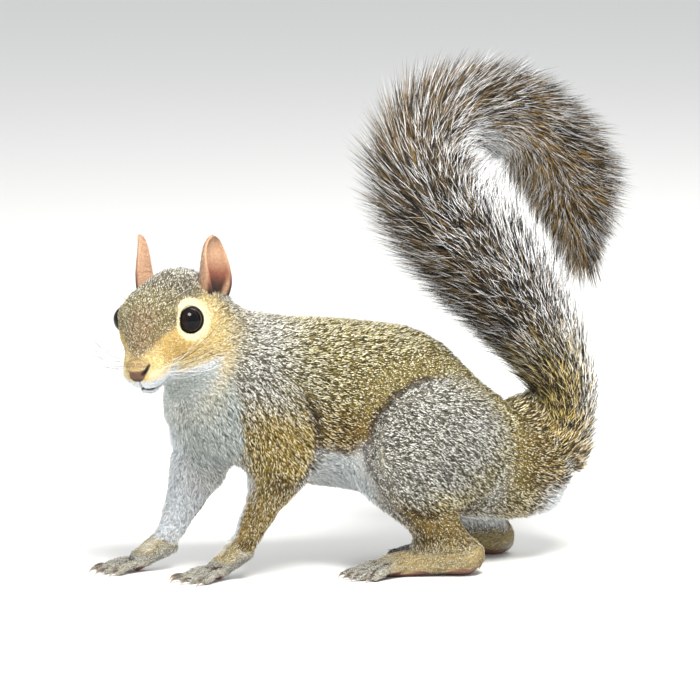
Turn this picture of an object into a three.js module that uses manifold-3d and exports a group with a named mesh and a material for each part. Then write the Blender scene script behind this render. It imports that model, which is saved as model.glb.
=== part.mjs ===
// Eastern grey squirrel (Sciurus carolinensis), a life-size still model in millimetres.
// The animal stands on all four feet, head turned to its left, tail raised and curled over backwards.
// +X is the animal's left, -Y is forward, +Z is up. The solids reach out to the tips of the coat.
// Flesh that grows together is one smooth field of rounded masses, which is skinned and then parted
// by thin plane cuts. Digits, claws and ears are swept along curves, and the eyes are spheres.

import * as THREE from "three";
import { mergeVertices } from "three/addons/utils/BufferGeometryUtils.js";
import Module from "manifold-3d";

const wasm = await Module();
wasm.setup();

// ---------------------------------------------------------------- driving dimensions
const GAP = 0.3; // clear width of every cut between two nodes
const SOLE = 0.5; // the pads of the feet are pressed flat up to this height
const CELL = { trunk: 11, neck: 9, head: 4.4, tail: 12, rump: 8, limb: 8, foot: 5 }; // skin mesh sizes

const HEAD = { at: [16, -87.8, 112.6], yaw: 50, pitch: 23, roll: 3 }; // point midway between the eyes
const EYE = { radius: 6.1, at: [0, 14.3, 0.3], look: [0.5, 0.85, 0.12], opening: 5.7 };
const EAR = {
  height: 27.5, width: 16, thick: 1.6, root: 7, lean: -24, splay: 14,
  left: { base: [-22, 12.5, 1], turn: 82, cup: 125 },
  right: { base: [-22, -13.4, 1], turn: -60, cup: 100 },
};

const rad = THREE.MathUtils.degToRad;

// ---------------------------------------------------------------- fields of distance
// Each mass returns its distance in mm from a point, negative inside.
function ellipsoid([cx, cy, cz], [rx, ry, rz], turn = [0, 0, 0]) {
  const m = new THREE.Matrix4()
    .makeRotationFromEuler(new THREE.Euler(...turn.map(rad)))
    .invert().elements;
  return (x, y, z) => {
    const dx = x - cx, dy = y - cy, dz = z - cz;
    const u = (m[0] * dx + m[4] * dy + m[8] * dz) / rx;
    const v = (m[1] * dx + m[5] * dy + m[9] * dz) / ry;
    const w = (m[2] * dx + m[6] * dy + m[10] * dz) / rz;
    const k = Math.hypot(u, v, w);
    return k < 1e-6 ? -Math.min(rx, ry, rz) : (k * (k - 1)) / Math.hypot(u / rx, v / ry, w / rz);
  };
}

// A rounded taper from a to b. widen stretches its section along X.
function taper(a, b, ra, rb, widen = 1) {
  const ax = a[0] / widen, ux = (b[0] - a[0]) / widen, uy = b[1] - a[1], uz = b[2] - a[2];
  const l2 = ux * ux + uy * uy + uz * uz, l = Math.sqrt(l2);
  const slope = (ra - rb) / l, c = Math.sqrt(Math.max(1 - slope * slope, 0));
  return (x, y, z) => {
    const px = x / widen - ax, py = y - a[1], pz = z - a[2];
    const along = (px * ux + py * uy + pz * uz) / l;
    const across = Math.sqrt(Math.max(px * px + py * py + pz * pz - along * along, 0));
    const t = THREE.MathUtils.clamp((along + (across * slope) / c) / l, 0, 1);
    return Math.hypot(across, along - t * l) - (ra + (rb - ra) * t);
  };
}

function smoothUnion(masses) {
  return (x, y, z) => {
    let d = 1e3;
    for (const [mass, blend] of masses) {
      const other = mass(x, y, z);
      const h = Math.max(blend - Math.abs(d - other), 0) / blend;
      d = Math.min(d, other) - (h * h * blend) / 4;
    }
    return d;
  };
}

// ---------------------------------------------------------------- the head, in its own frame
// x is forward, y is the animal's left, z is up, from the point midway between the eyes.
const headFrame = new THREE.Matrix4()
  .makeTranslation(...HEAD.at)
  .multiply(new THREE.Matrix4().makeRotationZ(rad(HEAD.yaw - 90)))
  .multiply(new THREE.Matrix4().makeRotationY(rad(HEAD.pitch)))
  .multiply(new THREE.Matrix4().makeRotationX(rad(HEAD.roll)));
const headInverse = headFrame.clone().invert().elements;

const onHead = (p) => new THREE.Vector3(...p).applyMatrix4(headFrame).toArray();

const bothSides = (make) => [make(1), make(-1)].flat();

const skull = smoothUnion([
  [ellipsoid([-13, 0, -2.2], [22, 16, 16.4]), 1],
  [ellipsoid([2, 0, -1], [16, 12.5, 12.5]), 10], // forehead
  [taper([6, 0, -5], [20.5, 0, -10], 12, 7.6), 9], // muzzle
  [taper([-12, 0, -13.5], [19.5, 0, -17.5], 10, 5), 8], // lower jaw and chin
  ...bothSides((s) => [
    [ellipsoid([-7, s * 10, -9], [14, 8, 10], [0, 10, s * 6]), 8], // cheek
    [ellipsoid([-2, s * 11.5, 1], [10, 5, 8.5], [0, 10, s * -8]), 5], // swell round the eye
    [ellipsoid([17.5, s * 5, -12.5], [6.8, 4.6, 5.4]), 4], // whisker pad
  ]),
]);
const eyeAt = (s) => [EYE.at[0], EYE.at[1] * s, EYE.at[2]];

// The coat opens round each eye in a dish that meets the eyeball at the edge of the lids.
const DISH_AHEAD = 8.5;
const eyeDepth = Math.sqrt(EYE.radius ** 2 - EYE.opening ** 2);
const dishRadius = Math.hypot(EYE.opening, DISH_AHEAD - eyeDepth);
const faceWithoutDishes = (x, y, z) => -skull(x, y, z);
const hollowed = smoothUnion([
  [faceWithoutDishes, 1],
  ...bothSides((s) => {
    const ahead = [EYE.look[0], EYE.look[1] * s, EYE.look[2]];
    const centre = eyeAt(s).map((c, a) => c + ahead[a] * DISH_AHEAD);
    return [
      [ellipsoid(centre, [dishRadius, dishRadius, dishRadius]), 2],
      [ellipsoid([-20, s * 18.5, 0], [6, 5, 8]), 2], // the notch beside the opening of the ear
    ];
  }),
]);
const face = (x, y, z) => -hollowed(x, y, z);
const head = (x, y, z) => {
  const e = headInverse;
  return face(
    e[0] * x + e[4] * y + e[8] * z + e[12],
    e[1] * x + e[5] * y + e[9] * z + e[13],
    e[2] * x + e[6] * y + e[10] * z + e[14],
  );
};

// ---------------------------------------------------------------- trunk, limbs and tail
const RUMP = ellipsoid([0, 56, 46.5], [27, 37, 28], [-14, 0, 0]);
const trunkMasses = [
  [ellipsoid([1, -28, 77.5], [26, 40, 33], [-4, 0, 0]), 1], // rib cage
  [ellipsoid([0, 12, 69.5], [28, 44, 37], [2, 0, 0]), 22], // loin and belly
  [RUMP, 20],
  [ellipsoid([5, -60, 79], [20, 21, 25], [-15, 0, 12]), 16], // breast
  [taper([4, -50, 90], [8, -70, 108], 21, 18), 18], // neck
  [head, 12],
];

// Joints of the legs. side is +1 for the left and -1 for the right.
const FORE = {
  left: {
    side: 1, aim: 20, shoulder: [17, -48, 80], elbow: [21, -35, 51], wrist: [15, -51.5, 14],
    palm: [13.5, -62, 4.6],
  },
  right: {
    side: -1, aim: 7, shoulder: [-14, -60, 76], elbow: [-17, -60, 50], wrist: [-16, -77, 13],
    palm: [-16.5, -90, 4.6],
  },
};
const HIND = {
  left: {
    side: 1, hip: [14, 44, 58], thigh: { at: [21, 30, 56], size: [16, 32, 29], tilt: 14 },
    knee: [27, 8, 48], ankle: [28, 42, 9.5], ball: [24, 10, 4.6], aim: 14,
  },
  right: {
    side: -1, hip: [-14, 58, 47], thigh: { at: [-21, 54, 48], size: [16, 30, 24], tilt: -4 },
    knee: [-25, 34, 43], ankle: [-22, 70, 8.4], ball: [-18.5, 44, 4.6], aim: -4,
  },
};

function foreMasses({ side, shoulder, elbow, wrist, palm }) {
  const s = side;
  return [
    [ellipsoid([shoulder[0] - s * 1, shoulder[1] + 2, shoulder[2] - 4], [11, 20, 23], [-20, 0, 0]), 12],
    [taper(shoulder, elbow, 15, 12.5), 9],
    [taper(elbow, wrist, s > 0 ? 12.5 : 13.5, 5.5), 7],
    [taper(wrist, palm, 5.2, 4.4, 1.25), 4],
  ];
}

function hindMasses({ hip, thigh, knee, ankle, ball }) {
  return [
    [ellipsoid(thigh.at, thigh.size, [thigh.tilt, 0, 0]), 7],
    [taper(knee, hip, 13, 16), 8],
    [taper([knee[0], knee[1] + 6, knee[2] - 8], ankle, 15, 8.5), 9], // shank
    [taper(ankle, ball, 7.8, 5, 1.15), 5], // sole from the heel to the ball of the toes
  ];
}

// Middle of the tail from rump to tip, with half its depth. It is a little wider than deep.
const TAIL = [
  [0, 80, 38, 20], [0, 94, 54, 14.5], [0, 97, 69, 14], [0, 93, 85, 16.5], [0, 83, 101, 21],
  [0, 72, 117, 26], [0, 57, 136, 31], [0, 42, 153, 31.5], [-1, 34, 171, 32.5], [-3, 38, 189, 29.5],
  [-6, 56, 195, 24], [-9, 74, 193, 24], [-11, 86, 183, 25], [-12, 95, 170, 28], [-12, 99, 157, 28],
  [-12, 103, 140, 20], [-12, 105, 127, 10],
];
const tailLength = (from, to) => smoothUnion(TAIL.slice(from + 1, to).map((p, i) => {
  const q = TAIL[from + i];
  return [taper(q, p, q[3], p[3], 1 + 0.12 * Math.min((from + i) / 6, 1)), 5];
}));

// The trunk and limbs carry only the root of the tail, so the valley before the tail stays open.
const body = smoothUnion([
  ...trunkMasses,
  ...foreMasses(FORE.left),
  ...foreMasses(FORE.right),
  ...hindMasses(HIND.left),
  ...hindMasses(HIND.right),
  [tailLength(0, 3), 5],
]);
const tail = smoothUnion([[RUMP, 1], [tailLength(0, 11), 4], [tailLength(9, 17), 2]]);

// ---------------------------------------------------------------- skinning a field
// Corners that are inside but meet only across a face or a cell would pinch the skin: fill between them.
function unpinch(values, at, eachCell, cell) {
  const inside = (c) => values[c] < 0;
  const fill = (corners) => {
    const least = corners.reduce((best, c) => (values[c] < values[best] ? c : best));
    values[least] = -cell / 50;
  };
  for (let changed = true; changed; ) {
    changed = false;
    eachCell(1, (i, j, k) => {
      const corners = [0, 1, 2, 3, 4, 5, 6, 7];
      const cube = corners.map((c) => at(i + (c & 1), j + ((c >> 1) & 1), k + (c >> 2)));
      const sides = [[0, 1, 3, 2], [4, 5, 7, 6], [0, 1, 5, 4], [2, 3, 7, 6], [0, 2, 6, 4], [1, 3, 7, 5]];
      for (const [a, b, c, d] of sides.map((side) => side.map((corner) => cube[corner]))) {
        if (inside(a) !== inside(c) || inside(b) !== inside(d) || inside(a) === inside(b)) continue;
        fill(inside(a) ? [b, d] : [a, c]);
        changed = true;
      }
      const count = cube.filter(inside).length;
      for (let c = 0; c < 4; c++) {
        const ends = [cube[c], cube[7 - c]], within = ends.filter(inside).length;
        if ((count === 2 && within === 2) || (count === 6 && within === 0)) {
          fill(cube.filter((corner) => !inside(corner)));
          changed = true;
        }
      }
    });
  }
}

// Surface nets: one vertex in each grid cell that the surface crosses, moved onto the surface.
function skinOf(field, [x0, y0, z0], [x1, y1, z1], cell) {
  const n = [x1 - x0, y1 - y0, z1 - z0].map((s) => Math.ceil(s / cell) + 1);
  const origin = [x0, y0, z0];
  const at = (i, j, k) => i + n[0] * (j + n[1] * k);
  const eachCell = (from, visit) => {
    for (let k = from; k < n[2] - 1; k++)
      for (let j = from; j < n[1] - 1; j++) for (let i = from; i < n[0] - 1; i++) visit(i, j, k);
  };
  const values = new Float32Array(n[0] * n[1] * n[2]).fill(cell);
  eachCell(1, (i, j, k) => {
    values[at(i, j, k)] = field(x0 + i * cell, y0 + j * cell, z0 + k * cell);
  });
  unpinch(values, at, eachCell, cell);
  const slope = (p) => {
    const h = cell / 20, d = field(...p);
    const g = [0, 1, 2].map((a) => (field(...p.map((c, b) => c + (a === b ? h : 0))) - d) / h);
    return { d, g };
  };
  const points = [], indexOf = new Map();
  eachCell(0, (i, j, k) => {
    const sum = [0, 0, 0];
    let crossings = 0;
    for (let edge = 0; edge < 12; edge++) {
      const a = edge % 3, c = [i, j, k];
      c[(a + 1) % 3] += (edge / 3) & 1;
      c[(a + 2) % 3] += edge > 5 ? 1 : 0;
      const end = [...c];
      end[a] += 1;
      const va = values[at(...c)], vb = values[at(...end)];
      if (va < 0 === vb < 0) continue;
      c[a] += va / (va - vb);
      c.forEach((value, axis) => (sum[axis] += value));
      crossings++;
    }
    if (!crossings) return;
    let p = sum.map((value, axis) => origin[axis] + (value / crossings) * cell);
    for (let step = 0; step < 3; step++) {
      const { d, g } = slope(p);
      const step = d / (g[0] ** 2 + g[1] ** 2 + g[2] ** 2 + 0.01);
      const move = THREE.MathUtils.clamp(step, -cell / 5, cell / 5);
      p = p.map((c, axis) => c - g[axis] * move);
    }
    indexOf.set(at(i, j, k), points.length / 3);
    points.push(...p);
  });
  const faces = [];
  eachCell(0, (i, j, k) => {
    for (let a = 0; a < 3; a++) {
      const c = [i, j, k], end = [...c];
      end[a] += 1;
      const inside = values[at(...c)] < 0;
      if (inside === values[at(...end)] < 0) continue;
      const quad = [[0, 0], [1, 0], [1, 1], [0, 1]].map(([u, v]) => {
        const q = [...c];
        q[(a + 1) % 3] -= u;
        q[(a + 2) % 3] -= v;
        return indexOf.get(at(...q));
      });
      if (!inside) quad.reverse();
      faces.push(quad[0], quad[1], quad[2], quad[0], quad[2], quad[3]);
    }
  });
  return geometryOf(points, faces);
}

function geometryOf(points, faces) {
  return new THREE.BufferGeometry()
    .setAttribute("position", new THREE.Float32BufferAttribute(points, 3))
    .setIndex(faces);
}

// ---------------------------------------------------------------- solids
function turnedOver(index) {
  const out = [...index];
  for (let i = 0; i < out.length; i += 3) [out[i + 1], out[i + 2]] = [out[i + 2], out[i + 1]];
  return out;
}

function solidOf(geometry) {
  const bare = new THREE.BufferGeometry()
    .setAttribute("position", geometry.getAttribute("position"))
    .setIndex(geometry.index);
  const merged = mergeVertices(bare, 1e-4);
  const build = (index) => new wasm.Manifold(new wasm.Mesh({
    numProp: 3,
    vertProperties: new Float32Array(merged.attributes.position.array),
    triVerts: new Uint32Array(index),
  }));
  const made = build(merged.index.array);
  return made.volume() < 0 ? build(turnedOver(merged.index.array)) : made;
}

const largest = (solid) => solid.decompose().sort((a, b) => b.volume() - a.volume())[0];

// A region is a box trimmed by planes, each a point on it and the direction that stays.
function region(lo, hi, ...planes) {
  const make = (grow) => {
    const box = new THREE.BoxGeometry(...hi.map((c, a) => c - lo[a] + 2 * grow));
    box.translate(...lo.map((c, a) => (c + hi[a]) / 2));
    return planes.reduce((solid, [point, keep]) => {
      const n = new THREE.Vector3(...keep).normalize();
      return solid.trimByPlane(n.toArray(), n.dot(new THREE.Vector3(...point)) - grow);
    }, solidOf(box));
  };
  return { lo, hi, make };
}

// A region that is an oval seen from the side, running outwards from x to the flank.
function lobe(x, y, z, ry, rz, tilt) {
  const side = Math.sign(x), depth = 50, reach = Math.max(ry, rz);
  const make = (grow) => {
    const oval = new THREE.CylinderGeometry(1, 1, depth + 2 * grow, 16).rotateZ(Math.PI / 2);
    oval.scale(1, ry + grow, rz + grow).rotateX(rad(tilt));
    return solidOf(oval.translate(x + (side * depth) / 2, y, z));
  };
  const ends = [x, x + side * depth].sort((a, b) => a - b);
  return { lo: [ends[0], y - reach, z - reach], hi: [ends[1], y + reach, z + reach], make };
}

// A closed sweep of oval rings along a curve: radii at even steps, squeezed by flat in height.
function sweep(path, radii, sides, flat = 1) {
  const curve = new THREE.CatmullRomCurve3(path.map((p) => new THREE.Vector3(...p)));
  const points = [], faces = [], end = (radii.length - 1) * sides;
  radii.forEach((radius, i) => {
    const t = i / (radii.length - 1);
    const centre = curve.getPoint(t), along = curve.getTangent(t);
    const across = new THREE.Vector3(0, 0, 1).cross(along).normalize();
    const up = along.clone().cross(across);
    for (let j = 0; j < sides; j++) {
      const angle = (2 * Math.PI * (j + 0.5)) / sides;
      points.push(...centre.clone()
        .addScaledVector(across, Math.cos(angle) * radius)
        .addScaledVector(up, Math.sin(angle) * radius * flat));
    }
  });
  const tip = (t, reach) => {
    points.push(...curve.getPoint(t).addScaledVector(curve.getTangent(t), reach));
    return points.length / 3 - 1;
  };
  const first = tip(0, -radii[0] * 0.5), last = tip(1, radii[radii.length - 1] * 0.6);
  for (let j = 0; j < sides; j++) {
    const k = (j + 1) % sides;
    faces.push(first, k, j, last, end + j, end + k);
    for (let i = 0; i < end; i += sides)
      faces.push(i + j, i + k, i + k + sides, i + j, i + k + sides, i + j + sides);
  }
  return solidOf(geometryOf(points, faces));
}

// ---------------------------------------------------------------- digits, claws, ears and eyes
// Digits fan out from the front of the palm or sole, arch over a knuckle and come down on a pad.
function digitsOf({ at, aim, side, lengths, fan, spacing, radius }) {
  return lengths.map((length, i) => {
    const middle = (lengths.length - 1) / 2;
    const out = (i - middle) * side; // the first digit is the innermost
    const heading = rad(aim + out * fan);
    const ahead = [Math.sin(heading), -Math.cos(heading)];
    const across = [Math.cos(rad(aim)), Math.sin(rad(aim))];
    const foot = (along, z) => [
      at[0] + across[0] * out * spacing + ahead[0] * along,
      at[1] + across[1] * out * spacing + ahead[1] * along,
      z,
    ];
    const r = radius;
    const digit = sweep(
      [foot(-3, 4.6), foot(length * 0.4, r + 2.4), foot(length * 0.75, r + 0.9), foot(length, r * 0.72)],
      [r * 1.05, r, r, r * 0.8], 5, 0.95,
    );
    const claw = sweep(
      [
        foot(length - 0.5, r + 0.4), foot(length + 1.8, r + 0.9),
        foot(length + 3.6, r + 0.1), foot(length + 4.6, 0.5),
      ],
      [r * 0.55, r * 0.42, 0.34], 4, 1.2,
    );
    return digit.add(claw);
  }).reduce((all, one) => all.add(one));
}

// The ear is a hollowed leaf: widest above its middle, blunt at the tip and wrapped round into a deep cup
// at its root, which stands in the head.
function earOf(side, grow = 0) {
  const across = 10, upward = 7;
  const { base, turn, cup: wrap } = side > 0 ? EAR.left : EAR.right;
  const frame = new THREE.Matrix4()
    .makeTranslation(...base)
    .multiply(new THREE.Matrix4().makeRotationY(rad(EAR.lean)))
    .multiply(new THREE.Matrix4().makeRotationX(rad(-EAR.splay * side)))
    .multiply(new THREE.Matrix4().makeRotationZ(rad(turn)));
  const place = (u, v, layer) => {
    const leaf = v > 0.6 ? Math.sqrt(1 - ((v - 0.6) / 0.405) ** 2) : 1 - 0.5 * ((0.6 - v) / 0.6) ** 1.8;
    const cup = rad(wrap - (wrap - 40) * THREE.MathUtils.smoothstep(v, 0.05, 1.1)); // its wrap, each way
    const r = ((EAR.width / 2) * leaf) / Math.sin(Math.min(cup, Math.PI / 2));
    const angle = u * (cup + (1.2 * grow) / r);
    const thick = (EAR.thick * (1 - 0.35 * v)) / 2 + grow;
    const shell = r + (layer ? thick : -thick);
    const x = r * 0.75 - Math.cos(angle) * shell - v * v * 1.5;
    const up = v * (EAR.height + EAR.root - 3 + 2 * grow) - EAR.root - grow;
    return new THREE.Vector3(x, Math.sin(angle) * shell, up).applyMatrix4(frame).applyMatrix4(headFrame);
  };
  const points = [], faces = [], ring = 2 * (across + 1);
  for (let j = 0; j <= upward; j++)
    for (let i = 0; i < ring; i++) {
      const back = i > across;
      const u = back ? 1 - (2 * (i - across - 1)) / across : (2 * i) / across - 1;
      points.push(...place(u, j / upward, back));
    }
  for (let i = 0; i < ring; i++) {
    const k = (i + 1) % ring;
    for (let j = 0; j < upward; j++) {
      const a = j * ring + i, b = j * ring + k;
      faces.push(a, b, b + ring, a, b + ring, a + ring);
    }
  }
  for (let i = 0; i < across; i++) {
    const mate = ring - 1 - i, top = upward * ring;
    faces.push(i, mate, mate - 1, i, mate - 1, i + 1);
    faces.push(top + i, top + mate - 1, top + mate, top + i, top + i + 1, top + mate - 1);
  }
  return solidOf(geometryOf(points, faces));
}

const eyeOf = (side, grow = 0) =>
  solidOf(new THREE.SphereGeometry(EYE.radius + grow, 12, 8))
    .translate(...onHead(eyeAt(side)));

// ---------------------------------------------------------------- regions of the body
// The regions are taken in this order, and each leaves the rest to those that follow.
const inward = ({ side }) => (side > 0 ? [2, 60] : [-60, -2]);

function foreRegions(name, leg) {
  const { side, shoulder, elbow, wrist } = leg;
  const [x0, x1] = inward(leg);
  const down = wrist.map((c, a) => c - elbow[a]);
  const below = elbow.map((c, a) => c + 0.13 * down[a]);
  const y = (shoulder[1] + elbow[1]) / 2, z = (shoulder[2] + elbow[2]) / 2 + 3;
  const [front, back] = [wrist[1] - 12, elbow[1] + 22];
  return [
    [`foot_fore_${name}`, region([x0, wrist[1] - 50, -1], [x1, wrist[1] + 12, 22], [wrist, down]), CELL.foot],
    [`upper_leg_fore_${name}`, lobe(side * 9, y, z, 17, 27, (elbow[1] - shoulder[1]) * 1.6), CELL.limb],
    [`forearm_${name}`, region([x0, front, -1], [x1, back, elbow[2] - 1], [below, down]), CELL.limb],
  ];
}

function hindRegions(name, leg) {
  const { side, thigh, knee, ankle } = leg;
  const [x0, x1] = inward(leg);
  const [in0, in1] = side > 0 ? [9, 60] : [-60, -9];
  const shin = [[0, knee[1] + 1, 33], [0, 0.8, 0.59]];
  return [
    [`foot_hind_${name}`, region([x0, knee[1] - 25, -1], [x1, ankle[1] + 16, ankle[2] + 4]), CELL.foot],
    [`thigh_${name}`, lobe(side * 9, thigh.at[1] + 3, thigh.at[2] + 1, 34, 28, 14), CELL.limb],
    [`shank_${name}`, region([in0, knee[1] - 14, 0], [in1, ankle[1] + 13, 40], shin), CELL.limb],
  ];
}

const TAIL_FRONT = [[0, 74, 67], [0, 0.743, 0.669]];
const TAIL_BEND = [[0, 87, 90], [0, -0.4, 0.92]];
const REGIONS = [
  ["head", region([-45, -140, 60], [70, -40, 160], [[5, -66, 100], [0.25, -0.78, 0.57]]), CELL.head],
  ...foreRegions("left", FORE.left),
  ...foreRegions("right", FORE.right),
  ...hindRegions("left", HIND.left),
  ...hindRegions("right", HIND.right),
  ["tail_tip", region([-55, 10, 110], [50, 140, 240], [[-4, 62, 178], [-0.15, 0.85, 0.53]]), CELL.tail],
  ["tail_upper", region([-55, -10, 100], [50, 110, 240], [[0, 49, 146], [0, -0.5, 0.87]]), CELL.tail],
  ["tail_middle", region([-45, 0, 60], [45, 130, 190], TAIL_BEND, TAIL_FRONT), CELL.rump],
  ["tail_root", region([-40, 60, 20], [40, 130, 110], TAIL_FRONT), CELL.rump],
  ["neck", region([-40, -110, 60], [45, -30, 140], [[4, -56, 86], [0.1, -0.73, 0.68]]), CELL.neck],
  ["trunk", region([-50, -100, 0], [50, 125, 140]), CELL.trunk],
];

// ---------------------------------------------------------------- the nodes
const COAT = { grey: 0x8a8378, ochre: 0xa98a5c, dark: 0x6b5d4c, pale: 0xcfc8bc };
const coat = (name, color) => new THREE.MeshStandardMaterial({ name, color, roughness: 0.9 });

const FORE_FOOT = { lengths: [12.5, 15.5, 15.5, 12.5], fan: 13, spacing: 3.1, radius: 1.9 };
const HIND_FOOT = { lengths: [11, 16, 17, 16.5, 12.5], fan: 7, spacing: 3.4, radius: 2.2 };
const DIGITS = {
  foot_fore_left: { at: FORE.left.palm, aim: FORE.left.aim, side: 1, ...FORE_FOOT },
  foot_fore_right: { at: FORE.right.palm, aim: FORE.right.aim, side: -1, ...FORE_FOOT },
  foot_hind_left: { at: HIND.left.ball, aim: HIND.left.aim, side: 1, ...HIND_FOOT },
  foot_hind_right: { at: HIND.right.ball, aim: HIND.right.aim, side: -1, ...HIND_FOOT },
};

const squirrel = new THREE.Group();
squirrel.name = "grey_squirrel";

function addNode(name, solid, material) {
  const m = solid.getMesh();
  const geometry = geometryOf(Array.from(m.vertProperties), Array.from(m.triVerts));
  geometry.computeVertexNormals();
  const mesh = new THREE.Mesh(geometry, material);
  mesh.name = name;
  squirrel.add(mesh);
}

const taken = [];
for (const [name, { lo, hi, make }, cell] of REGIONS) {
  const field = name.startsWith("tail") ? tail : body;
  const low = lo.map((c) => c - cell * 1.5), high = hi.map((c) => c + cell * 1.5);
  const skin = solidOf(skinOf(field, low, high, cell));
  let solid = taken.reduce((rest, other) => rest.subtract(other), skin.intersect(make(0)));
  if (DIGITS[name]) solid = solid.add(digitsOf(DIGITS[name]));
  if (name === "head")
    for (const side of [1, -1]) solid = solid.subtract(eyeOf(side, GAP)).subtract(earOf(side, GAP));
  solid = largest(solid.trimByPlane([0, 0, 1], SOLE));
  addNode(name, solid, coat(`coat_${name}`, name.startsWith("tail") ? COAT.dark : COAT.grey));
  taken.push(make(GAP));
}

const eyeball = (name) => new THREE.MeshStandardMaterial({ name, color: 0x0d0a09, roughness: 0.1 });
for (const [side, name] of [[1, "left"], [-1, "right"]]) {
  addNode(`ear_${name}`, earOf(side), coat(`ear_${name}`, COAT.ochre));
  addNode(`eye_${name}`, eyeOf(side), eyeball(`eye_${name}`));
}

// The origin is under the middle of the whole, on the floor.
const bounds = new THREE.Box3().setFromObject(squirrel);
const middle = bounds.getCenter(new THREE.Vector3());
const part = new THREE.Group();
part.name = "grey_squirrel_on_floor";
squirrel.position.set(-middle.x, -middle.y, -bounds.min.z);
part.add(squirrel);

export default part;
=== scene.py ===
import math

import bmesh
import bpy
import numpy as np
from mathutils import Matrix, Vector
from mathutils.bvhtree import BVHTree
from mathutils.kdtree import KDTree


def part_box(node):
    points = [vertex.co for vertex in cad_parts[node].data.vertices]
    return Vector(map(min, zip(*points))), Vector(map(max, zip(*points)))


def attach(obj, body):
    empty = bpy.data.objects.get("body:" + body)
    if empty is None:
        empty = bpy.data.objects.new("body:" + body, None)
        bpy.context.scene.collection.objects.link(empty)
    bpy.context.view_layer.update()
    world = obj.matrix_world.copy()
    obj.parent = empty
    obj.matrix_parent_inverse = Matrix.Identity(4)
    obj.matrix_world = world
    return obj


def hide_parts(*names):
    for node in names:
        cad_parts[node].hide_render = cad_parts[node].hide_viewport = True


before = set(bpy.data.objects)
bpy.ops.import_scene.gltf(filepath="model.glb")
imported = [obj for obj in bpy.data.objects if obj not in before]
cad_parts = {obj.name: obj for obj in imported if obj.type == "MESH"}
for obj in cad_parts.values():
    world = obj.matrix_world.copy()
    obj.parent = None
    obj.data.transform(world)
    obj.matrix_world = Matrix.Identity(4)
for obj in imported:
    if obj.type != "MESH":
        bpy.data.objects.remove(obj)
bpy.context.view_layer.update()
bpy.ops.object.select_all(action="DESELECT")

# ---------------------------------------------------------------- the hide
# One hide of thin skin covers the head, neck, trunk, legs and the core of the tail. The solids of the flesh
# are copied, run together by a voxel remesh so that they show no seam, smoothed, and drawn in by the depth
# of the coat. The lids and the ears are joined to it.
MM = 0.001
HEAD_AT = (16, -87.8, 112.6)  # the point between the eyes, in millimetres of the body's own frame
HEAD_TURN = {"Z": -40, "Y": 23, "X": 3}  # degrees
EYE_UP = 0.3 * MM  # the eyes' height over that point
EYE_RADIUS = 6.1 * MM
EYE_AT = np.array([0, 14.3, EYE_UP / MM])  # the middle of the left eye, in millimetres of the head


def middle_of(node):
    low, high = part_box(node)
    return (low + high) / 2


turn = Matrix.Identity(4)
for axis, degrees in HEAD_TURN.items():
    turn = turn @ Matrix.Rotation(math.radians(degrees), 4, axis)
head_origin = (middle_of("eye_left") + middle_of("eye_right")) / 2 - turn @ Vector((0, 0, EYE_UP))
head_frame = Matrix.Translation(head_origin) @ turn
head_turn = np.array(turn)[:3, :3]
body_origin = np.array(head_origin) - np.array(HEAD_AT) * MM


def to_head(points):
    """Points in metres, seen in millimetres from between the eyes: forward, left and up."""
    inverse = np.array(head_frame.inverted())
    return (points @ inverse[:3, :3].T + inverse[:3, 3]) / MM


def from_head(points):
    matrix = np.array(head_frame)
    return np.asarray(points, float) * MM @ matrix[:3, :3].T + matrix[:3, 3]


def to_body(points):
    return (points - body_origin) / MM


def from_body(points):
    return np.asarray(points, float) * MM + body_origin


def read(things, key, width, kind=np.float32):
    """What a mesh keeps under this key for each of its vertices, edges or faces, width numbers to each."""
    values = np.zeros(len(things) * width, kind)
    things.foreach_get(key, values)
    return values.reshape(-1, width)


def points_of(piece):
    return read(piece.data.vertices, "co", 3).astype(float)


def move_points(piece, points):
    piece.data.vertices.foreach_set("co", points.astype(np.float32).ravel())
    piece.data.update()


def normals_of(piece):
    return read(piece.data.vertex_normals, "vector", 3).astype(float)


def edges_of(piece):
    return read(piece.data.edges, "vertices", 2, np.int32)


def only(piece):
    bpy.ops.object.select_all(action="DESELECT")
    piece.select_set(True)
    bpy.context.view_layer.objects.active = piece
    return piece


def joined(pieces, name):
    only(pieces[0])
    for piece in pieces[1:]:
        piece.select_set(True)
    bpy.ops.object.join()
    pieces[0].name = name
    return pieces[0]


def apply(piece, kind, **settings):
    only(piece)
    modifier = piece.modifiers.new(kind.title(), kind)
    for key, value in settings.items():
        setattr(modifier, key, value)
    bpy.ops.object.modifier_apply(modifier=modifier.name)


def linked(name, data):
    made = bpy.data.objects.new(name, data)
    bpy.context.collection.objects.link(made)
    return made


def mesh_piece(name, points, faces):
    mesh = bpy.data.meshes.new(name)
    mesh.from_pydata(points.tolist(), [], faces)
    piece = only(linked(name, mesh))
    bpy.ops.object.mode_set(mode="EDIT")
    bpy.ops.mesh.select_all(action="SELECT")
    bpy.ops.mesh.remove_doubles(threshold=1e-6)
    bpy.ops.mesh.normals_make_consistent(inside=False)
    bpy.ops.object.mode_set(mode="OBJECT")
    return piece


def copies_of(nodes, swell):
    """Closed copies of CAD solids in one object, each swollen so that neighbours run together."""
    made = []
    for node in nodes:
        piece = linked(node + "_copy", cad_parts[node].data.copy())
        piece.data.materials.clear()
        shape = bmesh.new()
        shape.from_mesh(piece.data)
        bmesh.ops.remove_doubles(shape, verts=shape.verts, dist=1e-6)
        shape.normal_update()
        for vertex in shape.verts:
            vertex.co += vertex.normal * swell
        shape.to_mesh(piece.data)
        shape.free()
        made.append(piece)
    return joined(made, nodes[0] + "_flesh")


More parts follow.
